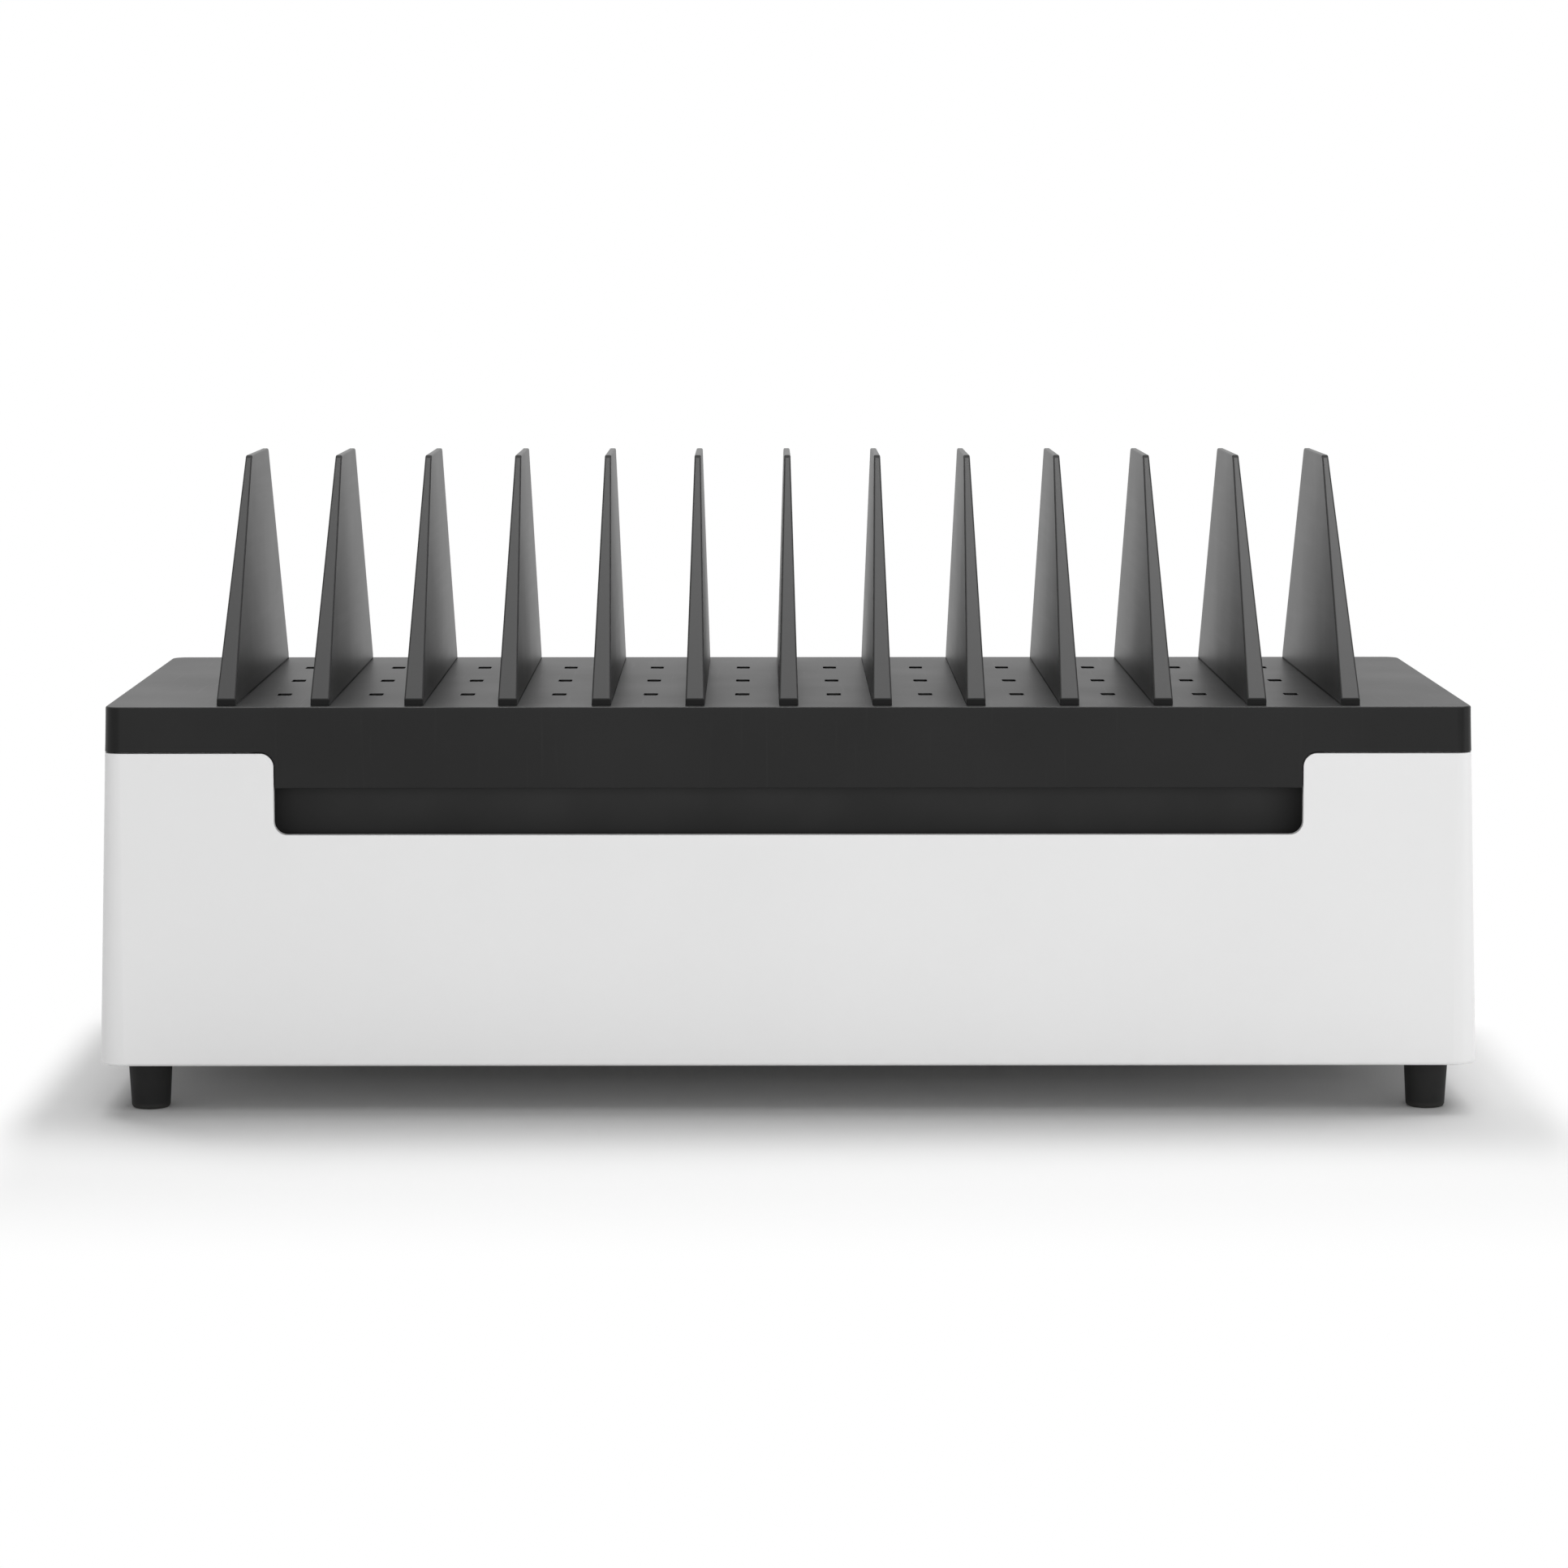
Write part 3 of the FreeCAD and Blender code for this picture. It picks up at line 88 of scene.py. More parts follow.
# %% [markdown]
# ## Colours and nodes
# Colours are easiest to read as the hex values of a picture, but shaders work in linear light, so
# one function converts them. Two more fill the sockets of a node, with plain values or with the outputs
# of other nodes, and add a new node with its settings. Every finish in this lesson is made with these.

# %% Colour and node helpers
def linear(hex_colour):
    """Turn an sRGB hex value into the linear colour that shaders use."""
    channels = [int(hex_colour[start:start + 2], 16) / 255 for start in (1, 3, 5)]
    return [c / 12.92 if c <= 0.04045 else ((c + 0.055) / 1.055) ** 2.4 for c in channels] + [1.0]


def fill(tree, node, sockets):
    """Fill the sockets of a node with values or with other nodes' outputs."""
    for key, value in sockets.items():
        if isinstance(value, bpy.types.NodeSocket):
            tree.links.new(value, node.inputs[key])
        else:
            node.inputs[key].default_value = value


def add(tree, kind, sockets=None, **settings):
    """Add a node, give it its settings, and fill its sockets."""
    node = tree.nodes.new(kind)
    for name, value in settings.items():
        setattr(node, name, value)
    fill(tree, node, sockets or {})
    return node


print("mid grey #808080 is", round(linear("#808080")[0], 3), "in linear light")

# %% [markdown]
# ## Floor
# The object stands on a white paper sweep. Only its near part shows, so one flat square does for it. It is
# no part of the object.

# %% Lay the floor
FLOOR_SIZE = 30.0

floor_mesh = bpy.data.meshes.new("studio_floor")
build = bmesh.new()
bmesh.ops.create_grid(build, x_segments=1, y_segments=1, size=FLOOR_SIZE / 2)
build.to_mesh(floor_mesh)
build.free()
floor = bpy.data.objects.new("studio_floor", floor_mesh)
scene.collection.objects.link(floor)
print("floor", FLOOR_SIZE, "m wide")

# %% [markdown]
# ## White paper
# A white floor that is lit to exactly white would still turn grey far away, where the lamps do not reach.
# So the paper fades from a plain matte white near the object to a white that glows, but only for the camera
# and in mirrors. Near the object it keeps the soft shadow. FOOTPRINT is half the patch that stays matte, and
# SHADOW_REACH is how far beyond it all is white. The fade starts at FADE_START of that way.

# %% Fade the paper to white
FOOTPRINT = (0.227, 0.085, 0.0)
SHADOW_REACH = (0.030, 0.220, 1.0)
FADE_START = 0.3
WHITE = (1.0, 1.0, 1.0, 1.0)


def seen_directly(tree):
    """1 for rays of the camera and of mirrors and glass, 0 for rays that only gather light."""
    rays = add(tree, "ShaderNodeLightPath").outputs
    seen = rays["Is Camera Ray"]
    for kind in ("Is Glossy Ray", "Is Transmission Ray"):
        seen = add(tree, "ShaderNodeMath", {0: seen, 1: rays[kind]}, operation="MAXIMUM").outputs[0]
    return seen


# Even matte white that takes the shadow without a highlight
paper = bpy.data.materials.new("white_paper_sweep")
paper.use_nodes = True
tree = paper.node_tree
tree.nodes.clear()
place = add(tree, "ShaderNodeTexCoord").outputs["Object"]
side = add(tree, "ShaderNodeVectorMath", {0: place}, operation="ABSOLUTE").outputs["Vector"]
beyond = add(tree, "ShaderNodeVectorMath", {0: side, 1: FOOTPRINT}, operation="SUBTRACT").outputs["Vector"]
beyond = add(tree, "ShaderNodeVectorMath", {0: beyond, 1: (0.0, 0.0, 0.0)}, operation="MAXIMUM")
share = add(tree, "ShaderNodeVectorMath", {0: beyond.outputs["Vector"], 1: SHADOW_REACH}, operation="DIVIDE")
away = add(tree, "ShaderNodeVectorMath", {0: share.outputs["Vector"]}, operation="LENGTH").outputs["Value"]
fade = add(tree, "ShaderNodeMapRange", {"Value": away, "From Min": FADE_START, "From Max": 1.0},
           interpolation_type="SMOOTHSTEP").outputs["Result"]
glow_share = add(tree, "ShaderNodeMath", {0: fade, 1: seen_directly(tree)}, operation="MULTIPLY").outputs[0]
matte = add(tree, "ShaderNodeBsdfDiffuse", {"Color": linear("#D2D2D2")}).outputs["BSDF"]
glow = add(tree, "ShaderNodeEmission", {"Color": WHITE, "Strength": 1.0}).outputs["Emission"]
mixed = add(tree, "ShaderNodeMixShader", {0: glow_share, 1: matte, 2: glow}).outputs["Shader"]
add(tree, "ShaderNodeOutputMaterial", {"Surface": mixed})
floor_mesh.materials.append(paper)
print("all white from", SHADOW_REACH[:2], "m beyond the station")

# %% [markdown]
# ## Light
# The light is a bright room and four softboxes. The room fills the shadows from all sides. It gives less
# light than it shows, because a fully white room would wash the shadow under the tub out, while a grey one
# would be seen behind the object and in every glossy face.

# %% Light the room
ROOM_LEVEL = 0.36

room = bpy.data.worlds.new("bright_room")
room.use_nodes = True
tree = room.node_tree
tree.nodes.clear()
level = add(tree, "ShaderNodeMapRange", {"Value": seen_directly(tree), "To Min": ROOM_LEVEL, "To Max": 1.0})
sky = add(tree, "ShaderNodeBackground", {"Color": WHITE, "Strength": level.outputs["Result"]})
add(tree, "ShaderNodeOutputWorld", {"Surface": sky.outputs["Background"]})
scene.world = room
print("room at", ROOM_LEVEL)

# %% [markdown]
# ## Softboxes
# A softbox is a lamp behind a sheet of cloth, which Blender has as an area lamp. The strongest hangs
# overhead, a little behind, and is mirrored by the deck and by the sloping edges of the dividers. Two weaker
# ones in front, one low and one high, light the front wall evenly, and a small one on the right draws a
# paler line down the right-hand corner.

# %% Hang the softboxes
def softbox(name, place, aim, width, height, power):
    """A rectangular area lamp that faces a point."""
    lamp = bpy.data.lights.new(name, "AREA")
    lamp.shape = "RECTANGLE"
    lamp.size = width
    lamp.size_y = height
    lamp.energy = power
    item = bpy.data.objects.new(name, lamp)
    item.location = place
    item.rotation_euler = (Vector(aim) - Vector(place)).to_track_quat("-Z", "Y").to_euler()
    scene.collection.objects.link(item)
    return item


softbox("overhead_softbox", (0.10, 0.30, 1.15), (0.0, 0.0, 0.1), 1.8, 0.4, 20.0)
softbox("low_front_softbox", (0.20, -1.6, 0.30), (0.0, 0.0, 0.09), 1.8, 0.35, 6.0)
softbox("high_front_softbox", (0.20, -0.9, 1.4), (0.0, 0.0, 0.09), 1.2, 0.6, 3.4)
softbox("right_softbox", (1.6, -0.45, 0.25), (0.0, 0.0, 0.09), 0.5, 0.3, 1.8)
print("four softboxes hung")

# %% [markdown]
# ## Edges
# No moulded or bent edge is perfectly sharp, and a thin highlight along it tells the eye so. Rounding
# every edge of the construction would mean new meshes. The Bevel node rounds only the shading instead,
# over a small radius, and where its answer differs from the true surface there is an edge. That
# difference is also useful as a mask, because edges are what hands rub first.

# %% Start a finish and find its edges
FULL_EDGE = 0.75


def new_finish(name):
    """A material with its coordinates, its shader and its output in place."""
    material = bpy.data.materials.new(name)
    material.use_nodes = True
    tree = material.node_tree
    tree.nodes.clear()
    place = add(tree, "ShaderNodeTexCoord").outputs["Object"]
    shader = add(tree, "ShaderNodeBsdfPrincipled")
    add(tree, "ShaderNodeOutputMaterial", {"Surface": shader.outputs["BSDF"]})
    return material, tree, place, shader


def soft_edges(tree, radius_mm):
    """Shading rounded over the edges, and how much of an edge each point is."""
    rounded = add(tree, "ShaderNodeBevel", {"Radius": radius_mm * MM}, samples=6).outputs["Normal"]
    true = add(tree, "ShaderNodeNewGeometry").outputs["Normal"]
    same = add(tree, "ShaderNodeVectorMath", {0: rounded, 1: true}, operation="DOT_PRODUCT").outputs["Value"]
    edge = add(tree, "ShaderNodeMapRange", {"Value": same, "From Min": 0.99, "From Max": FULL_EDGE})
    return rounded, edge.outputs["Result"]


print("a full edge turns the shading by", round(math.degrees(math.acos(FULL_EDGE))), "degrees")

# %% [markdown]
# ## Moulded plastics
# Most of what shows is moulded ABS. The mould leaves a fine even grain on it, the colour goes through
# the whole wall, and use leaves only faint clouds and edges that hands have rubbed smoother. A flat
# colour would look like paper. So each plastic gets a grain that dents the surface, a slow cloud that
# moves colour and gloss a little, and the same rubbed look on its edges. The real grain is about 0.1 mm,
# finer than a pixel here, so it is drawn coarser. Later finishes lay dust, scuffs or tracks over it.

# %% Plastic recipe
def moulded_plastic(name, base, rubbed, roughness, rubbed_roughness, specular, grain_mm, dent_mm, cloud_mm,
                    edge_mm):
    """A moulded plastic with an even dented grain, and a rubbed look in clouds and along its edges."""
    material, tree, place, shader = new_finish(name)
    rounded, edge = soft_edges(tree, edge_mm)
    cloud = add(tree, "ShaderNodeTexNoise", {"Vector": place, "Scale": 1 / (cloud_mm * MM), "Detail": 3.0})
    cloud = add(tree, "ShaderNodeMapRange", {"Value": cloud.outputs["Fac"], "From Min": 0.35, "From Max": 0.7,
                                             "To Max": 0.6})
    share = add(tree, "ShaderNodeMath", {0: cloud.outputs["Result"], 1: edge}, operation="MAXIMUM").outputs[0]
    colour = add(tree, "ShaderNodeMix", {"Factor": share, "A": linear(base), "B": linear(rubbed)},
                 data_type="RGBA")
    rough = add(tree, "ShaderNodeMapRange", {"Value": share, "To Min": roughness, "To Max": rubbed_roughness})
    grain = add(tree, "ShaderNodeTexNoise", {"Vector": place, "Scale": 1 / (grain_mm * MM), "Detail": 2.0})
    dent = add(tree, "ShaderNodeBump", {"Height": grain.outputs["Fac"], "Strength": 0.5,
                                        "Distance": dent_mm * MM, "Normal": rounded})
    fill(tree, shader, {"Base Color": colour.outputs["Result"], "Roughness": rough.outputs["Result"],
                        "Normal": dent.outputs["Normal"], "IOR": 1.54, "Specular IOR Level": specular})
    print(name, "with a grain of", grain_mm, "mm")
    return material


print("plastic recipe ready")

# %% [markdown]
# ## Layers of finish
# Dust, scuffs and printed tracks lie on top of a finish that is already there. A second shader would do it,
# but it is simpler to slip a mix between the shader and what feeds its colour and its roughness: the new
# layer shows where a mask is 1. Dressing a solid then means putting the material in its only slot.

# %% Lay a second finish over, and dress solids
def lay_over(material, share, colour, roughness):
    """Lay a second colour and roughness over a finish where share is 1."""
    tree = material.node_tree
    shader = next(node for node in tree.nodes if node.type == "BSDF_PRINCIPLED")
    under_colour = shader.inputs["Base Color"].links[0].from_socket
    under_roughness = shader.inputs["Roughness"].links[0].from_socket
    tint = add(tree, "ShaderNodeMix", {"Factor": share, "A": under_colour, "B": linear(colour)},
               data_type="RGBA")
    rough = add(tree, "ShaderNodeMix", {"Factor": share, "A": under_roughness, "B": roughness},
                data_type="FLOAT")
    fill(tree, shader, {"Base Color": tint.outputs["Result"], "Roughness": rough.outputs["Result"]})


def dress(material, *names):
    """Put a material on solids of the frame."""
    for name in names:
        slots = nodes[name].data.materials
        slots.clear()
        slots.append(material)
    print(material.name, "on", len(names), "solids")


print(len(nodes), "solids to dress")

# %% [markdown]
# ## The white tub
# The tub is white ABS with a satin grain, as on office equipment. It is neutral and a little darker than
# the floor, so that it stands out from it. A thin film of dust gathers along the lowest edge, where
# nobody wipes: it is laid over the plastic by height, broken up by a noise so that it isn't a stripe.

# %% White ABS
DUST_TOP = 22.0
DUST_FOOT = 15.8
DUST_PATCH = 9.0

# Broad soft highlights on a neutral white, brighter along the rubbed edges
white_abs = moulded_plastic(
    "moulded_white_abs", "#EFEFEF", "#F2F2F2", roughness=0.46, rubbed_roughness=0.40, specular=0.5,
    grain_mm=1.1, dent_mm=0.010, cloud_mm=70, edge_mm=0.5)
tree = white_abs.node_tree
place = add(tree, "ShaderNodeTexCoord").outputs["Object"]
height = add(tree, "ShaderNodeSeparateXYZ", {"Vector": place}).outputs["Z"]
low = add(tree, "ShaderNodeMapRange", {"Value": height, "From Min": DUST_TOP * MM,
                                       "From Max": DUST_FOOT * MM})
patch = add(tree, "ShaderNodeTexNoise", {"Vector": place, "Scale": 1 / (DUST_PATCH * MM), "Detail": 5.0})
patch = add(tree, "ShaderNodeMapRange", {"Value": patch.outputs["Fac"], "From Min": 0.4, "From Max": 0.8,
                                         "To Max": 0.15})
dust = add(tree, "ShaderNodeMath", {0: low.outputs["Result"], 1: patch.outputs["Result"]},
           operation="MULTIPLY")
lay_over(white_abs, dust.outputs[0], "#DAD9D6", 0.7)
dress(white_abs, "housing")

# %% [markdown]
# ## The black lid and trough
# The lid is black ABS from the same kind of grained mould. Seen at a flat angle its deck mirrors the
# bright room and turns grey, while its front edge stays nearly black; a low base reflection and a middling
# gloss give both. Devices slide in and out over the deck, so it carries short faint scuffs along
# their path. Stretching a noise along that path draws them. The trough behind the cable slot is a
# plainer moulding, painted a touch greyer than the lid: painted light that keeps the shaded slot from going
# too dark.

# %% Black ABS
SCUFF_LENGTH = 45.0
SCUFF_WIDTH = 1.6

# Nearly black when seen straight on, grey where the deck mirrors the room
black_abs = moulded_plastic(
    "moulded_black_abs", "#101010", "#161616", roughness=0.42, rubbed_roughness=0.37, specular=0.16,
    grain_mm=0.9, dent_mm=0.020, cloud_mm=45, edge_mm=0.4)
tree = black_abs.node_tree
place = add(tree, "ShaderNodeTexCoord").outputs["Object"]
along = (1 / (SCUFF_WIDTH * MM), 1 / (SCUFF_LENGTH * MM), 1 / (SCUFF_LENGTH * MM))
along = add(tree, "ShaderNodeMapping", {"Vector": place, "Scale": along}).outputs["Vector"]
scuff = add(tree, "ShaderNodeTexNoise", {"Vector": along, "Scale": 1.0, "Detail": 2.0})
scuff = add(tree, "ShaderNodeMapRange", {"Value": scuff.outputs["Fac"], "From Min": 0.62, "From Max": 0.8,
                                         "To Max": 0.5})
lay_over(black_abs, scuff.outputs["Result"], "#1B1B1B", 0.37)
dress(black_abs, "lid", "electronics_cover")

# Dull dark grey that mirrors little, so the slot stays deep; its grey is painted light for the shaded slot
lightened_trough_abs = moulded_plastic(
    "moulded_dark_grey_abs", "#1F1F1F", "#252525", roughness=0.58, rubbed_roughness=0.50, specular=0.3,
    grain_mm=0.9, dent_mm=0.020, cloud_mm=30, edge_mm=0.4)
dress(lightened_trough_abs, "cable_trough")

# %% [markdown]
# ## Dividers
# The dividers are smooth dark ABS plates. Tablets and laptops rub along their flanks, always in the
# same direction, which polishes long flat streaks. These are a noise stretched along the depth of the
# station, so they follow the way the devices go in. They are faint, because the plates are hardly worn.

# %% Divider plastic
STREAK_LENGTH = 70.0
STREAK_WIDTH = 3.0

# A smooth satin whose flanks brighten towards the rear, where they mirror the room
divider_abs = moulded_plastic(
    "moulded_satin_abs", "#1F1F1F", "#242424", roughness=0.43, rubbed_roughness=0.40, specular=0.35,
    grain_mm=1.0, dent_mm=0.012, cloud_mm=30, edge_mm=0.3)
tree = divider_abs.node_tree
place = add(tree, "ShaderNodeTexCoord").outputs["Object"]
along = (1 / (STREAK_LENGTH * MM), 1 / (STREAK_LENGTH * MM), 1 / (STREAK_WIDTH * MM))
along = add(tree, "ShaderNodeMapping", {"Vector": place, "Scale": along}).outputs["Vector"]
streak = add(tree, "ShaderNodeTexNoise", {"Vector": along, "Scale": 1.0, "Detail": 2.0})
streak = add(tree, "ShaderNodeMapRange", {"Value": streak.outputs["Fac"], "From Min": 0.5, "From Max": 0.8,
                                          "To Max": 0.3})
lay_over(divider_abs, streak.outputs["Result"], "#262626", 0.38)
dividers = sorted(name for name in nodes if name.startswith("divider_") and name[-1].isdigit())
dress(divider_abs, *dividers)

# %% [markdown]
# ## Painted shade on the edges of the dividers
# The rounded edges between flank and slope are painted near black and rough. This painted shade draws them as
# thin dark lines. They are where the surface looks neither straight sideways nor straight along the slope, so
# the sideways part of the normal finds them; the lid's hinge turns about the same direction and leaves it
# alone. The
# Bevel node spreads that normal over a reach, which makes the lines as wide as they look. The edges at the
# very top are left out of the painted shade.

# %% Find the edges to paint in shade
BRIGHT_TOP = (0.6, 1.0)
SHADE_LINE_REACH = 0.7

foot_line, top_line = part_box(dividers[0])
facing = add(tree, "ShaderNodeBevel", {"Radius": SHADE_LINE_REACH * MM}, samples=8).outputs["Normal"]
sideways = add(tree, "ShaderNodeSeparateXYZ", {"Vector": facing}).outputs["X"]
sideways = add(tree, "ShaderNodeMath", {0: sideways}, operation="ABSOLUTE").outputs[0]
off_slope = add(tree, "ShaderNodeMapRange", {"Value": sideways, "From Min": 0.08, "From Max": 0.25})
off_flank = add(tree, "ShaderNodeMapRange", {"Value": sideways, "From Min": 0.97, "From Max": 0.85})
edge = add(tree, "ShaderNodeMath", {0: off_slope.outputs["Result"], 1: off_flank.outputs["Result"]},
           operation="MULTIPLY").outputs[0]
where = add(tree, "ShaderNodeSeparateXYZ", {"Vector": place}).outputs
below_top = add(tree, "ShaderNodeMapRange", {"Value": where["Z"], "From Min": top_line.z - BRIGHT_TOP[0] * MM,
                                             "From Max": top_line.z - BRIGHT_TOP[1] * MM})
edge = add(tree, "ShaderNodeMath", {0: edge, 1: below_top.outputs["Result"]}, operation="MULTIPLY").outputs[0]
print("edge lines reach", SHADE_LINE_REACH, "mm past the rounds")

# %% [markdown]
# ## Painted shade on shoulder, toe and foot
# The front shoulder, the toe and the foot of a divider get the same painted shade. The normal can't tell them
# from the slope and the top at every pose of the lid, because they lean the way that the hinge turns. They
# are found
# by their place on the plate instead: toe and foot from the corner of its box, the shoulder from the point
# where the flat top starts, which is measured on the mesh. Then all of the painted shade is laid over the
# plastic at once.

# %% Paint shade on the shoulder, toe and foot
PAINTED_SHADE_NEAR = {"Y": (0.5, 0.2), "Z": (0.8, 0.3)}
SHOULDER_AHEAD = (0.0, 0.4)
SHOULDER_BELOW = (1.1, 0.7)
FLAT_TOP = 0.01

crown = min(vertex.co.y for vertex in nodes[dividers[0]].data.vertices
            if vertex.co.z > top_line.z - FLAT_TOP * MM)
ahead = add(tree, "ShaderNodeMapRange", {"Value": where["Y"], "From Min": crown - SHOULDER_AHEAD[0] * MM,
                                         "From Max": crown - SHOULDER_AHEAD[1] * MM})
high = add(tree, "ShaderNodeMapRange", {"Value": where["Z"], "From Min": top_line.z - SHOULDER_BELOW[0] * MM,
                                        "From Max": top_line.z - SHOULDER_BELOW[1] * MM})
shoulder = add(tree, "ShaderNodeMath", {0: ahead.outputs["Result"], 1: high.outputs["Result"]},
               operation="MULTIPLY").outputs[0]
edge = add(tree, "ShaderNodeMath", {0: edge, 1: shoulder}, operation="MAXIMUM").outputs[0]
for axis, (start_mm, full_mm) in PAINTED_SHADE_NEAR.items():
    corner = foot_line["XYZ".index(axis)]
    near = add(tree, "ShaderNodeMapRange", {"Value": where[axis], "From Min": corner + start_mm * MM,
                                            "From Max": corner + full_mm * MM})
    edge = add(tree, "ShaderNodeMath", {0: edge, 1: near.outputs["Result"]}, operation="MAXIMUM").outputs[0]
# Painted shade: the edge lines, shoulder, toe and foot turn near black and rough
lay_over(divider_abs, edge, "#0A0A0A", 0.85)
print("dull edges from toe and foot to the shoulder at", round(crown / MM, 1), "mm")

# %% [markdown]
# ## Feet
# The feet are black rubber, moulded dull so that they grip. Rubber picks up grey dust where it meets
# the table, so the lowest two millimetres are paler and duller still.

# %% Rubber
DUSTY_FOOT = 2.0

# No highlight to speak of, only a soft sheen on the rounded side
rubber = moulded_plastic(
    "moulded_black_rubber", "#1B1B1B", "#222221", roughness=0.78, rubbed_roughness=0.70, specular=0.25,
    grain_mm=0.7, dent_mm=0.030, cloud_mm=12, edge_mm=0.5)
tree = rubber.node_tree
place = add(tree, "ShaderNodeTexCoord").outputs["Object"]
height = add(tree, "ShaderNodeSeparateXYZ", {"Vector": place}).outputs["Z"]
ground = add(tree, "ShaderNodeMapRange", {"Value": height, "From Min": DUSTY_FOOT * MM, "From Max": 0.0,
                                          "To Max": 0.5})
lay_over(rubber, ground.outputs["Result"], "#4A4946", 0.9)
feet = sorted(name for name in nodes if name.startswith("foot_") and not name.endswith("screws"))
dress(rubber, *feet)

# %% [markdown]
# ## Inlet, switch and terminals
# The inlet and the switch frame are black nylon with a finer, glossier surface than the lid. The rocker is
# polished, so that fingers leave smears on it. The green terminals are the usual wiring blocks.
# All of them use the plastic recipe with other values.

# %% Nylon and polished plastic
# A tight sheen that sets the inlet off from the matte wall round it
nylon = moulded_plastic(
    "moulded_black_nylon", "#161616", "#202020", roughness=0.34, rubbed_roughness=0.28, specular=0.45,
    grain_mm=0.6, dent_mm=0.008, cloud_mm=12, edge_mm=0.3)
dress(nylon, "power_inlet", "switch_frame")
# A dark mirror, dulled in patches by fingers
polished = moulded_plastic(
    "polished_black_polycarbonate", "#0E0E0E", "#161616", roughness=0.10, rubbed_roughness=0.24, specular=0.5,
    grain_mm=3.0, dent_mm=0.004, cloud_mm=5, edge_mm=0.3)
dress(polished, "power_rocker")
# Plain even green with a waxy highlight
green_block = moulded_plastic(
    "moulded_green_polyamide", "#2C7A45", "#358850", roughness=0.42, rubbed_roughness=0.36, specular=0.5,
    grain_mm=0.6, dent_mm=0.010, cloud_mm=8, edge_mm=0.2)
dress(green_block, "board_terminal", "supply_terminals")
# Duller than the other plastics, because glass fibres roughen its skin
tongue_plastic = moulded_plastic(
    "moulded_glass_filled_nylon", "#191919", "#222222", roughness=0.5, rubbed_roughness=0.42, specular=0.4,
    grain_mm=0.4, dent_mm=0.006, cloud_mm=6, edge_mm=0.2)

# %% [markdown]
# ## Metals
# A metal's colour sits in its mirror, so here the base colour is bright and the surface does the work.
# Rolled sheet and drawn rod carry fine lines along the way they were pulled, plated parts are clouded
# instead, and stamped brass tarnishes in spots. One recipe covers them: a noise that is stretched by a
# given amount along each axis shifts the gloss, tints the metal towards a second colour and dents it.

# %% Metal recipe
def worked_metal(name, bright, dull, roughness, dull_roughness, grain_mm, dent_mm, edge_mm):
    """A metal whose surface marks are as long along each axis as grain_mm says."""
    material, tree, place, shader = new_finish(name)
    rounded, edge = soft_edges(tree, edge_mm)
    stretch = tuple(1 / (length * MM) for length in grain_mm)
    marks = add(tree, "ShaderNodeMapping", {"Vector": place, "Scale": stretch}).outputs["Vector"]
    marks = add(tree, "ShaderNodeTexNoise", {"Vector": marks, "Scale": 1.0, "Detail": 4.0}).outputs["Fac"]
    share = add(tree, "ShaderNodeMapRange", {"Value": marks, "From Min": 0.3, "From Max": 0.7})
    colour = add(tree, "ShaderNodeMix", {"Factor": share.outputs["Result"], "A": linear(bright),
                                         "B": linear(dull)}, data_type="RGBA")
    rough = add(tree, "ShaderNodeMapRange", {"Value": share.outputs["Result"], "To Min": roughness,
                                             "To Max": dull_roughness})
    dent = add(tree, "ShaderNodeBump", {"Height": marks, "Strength": 0.4, "Distance": dent_mm * MM,
                                        "Normal": rounded})
    fill(tree, shader, {"Base Color": colour.outputs["Result"], "Roughness": rough.outputs["Result"],
                        "Normal": dent.outputs["Normal"], "Metallic": 1.0})
    print(name, "with marks of", grain_mm, "mm")
    return material


print("metal recipe ready")

# %% [markdown]
# ## Six metals
# The hinge pins are drawn rod, the shells of the ports nickel plated sheet, the blades and the switch
# contacts stamped brass, and the case of the supply folded aluminium. Gold and tin come later, on the
# contacts and the legs of the small parts.

# %% Rod, sheet and strip
# Straight lines along the rod, so highlights run round it
drawn = worked_metal(
    "drawn_steel_rod", "#C2C2C2", "#A9A9A8", roughness=0.24, dull_roughness=0.36,
    grain_mm=(40.0, 0.3, 0.3), dent_mm=0.006, edge_mm=0.2)
# Bright and slightly warm, with faint rolling lines
nickel = worked_metal(
    "nickel_plated_sheet", "#CBC7BF", "#BDB8AE", roughness=0.20, dull_roughness=0.30,
    grain_mm=(12.0, 0.5, 0.5), dent_mm=0.003, edge_mm=0.2)
# Yellow with browner, duller spots of tarnish
brass = worked_metal(
    "stamped_brass", "#CDAE66", "#A98A4C", roughness=0.22, dull_roughness=0.40,
    grain_mm=(1.5, 4.0, 1.5), dent_mm=0.005, edge_mm=0.2)
# Clean warm yellow, brighter than the brass
gold = worked_metal(
    "gold_flashed_contact", "#DDBB6A", "#D0AC5C", roughness=0.16, dull_roughness=0.24,
    grain_mm=(1.0, 5.0, 1.0), dent_mm=0.002, edge_mm=0.05)
# Grey and a little cloudy, as dipped solder sets
tin = worked_metal(
    "tinned_copper", "#C4C5C4", "#A8A9A8", roughness=0.25, dull_roughness=0.40,
    grain_mm=(0.8, 0.8, 0.8), dent_mm=0.004, edge_mm=0.05)
# Cool grey with long rolling lines that spread the highlight
folded = worked_metal(
    "folded_aluminium_sheet", "#C6C8CA", "#B4B6B8", roughness=0.28, dull_roughness=0.40,
    grain_mm=(60.0, 0.5, 0.5), dent_mm=0.005, edge_mm=0.4)

ports = sorted(name for name in nodes if name.startswith("usb_port_"))
dress(drawn, "hinge_pin_left", "hinge_pin_right")
dress(nickel, *ports)
dress(brass, "inlet_blades", "switch_contacts")
dress(folded, "supply_tray", "supply_cover")

# %% [markdown]
# ## Metal of the screws
# The screws outside are zinc plated, those in the black parts are blackened to match. The recess of each
# screw is painted darker, as painted shade. The Ambient Occlusion node finds it: it says how much open sky
# a point sees within a short reach, and the painted shade lies where there is little.

# %% Screw metal
RECESS_REACH = 1.5

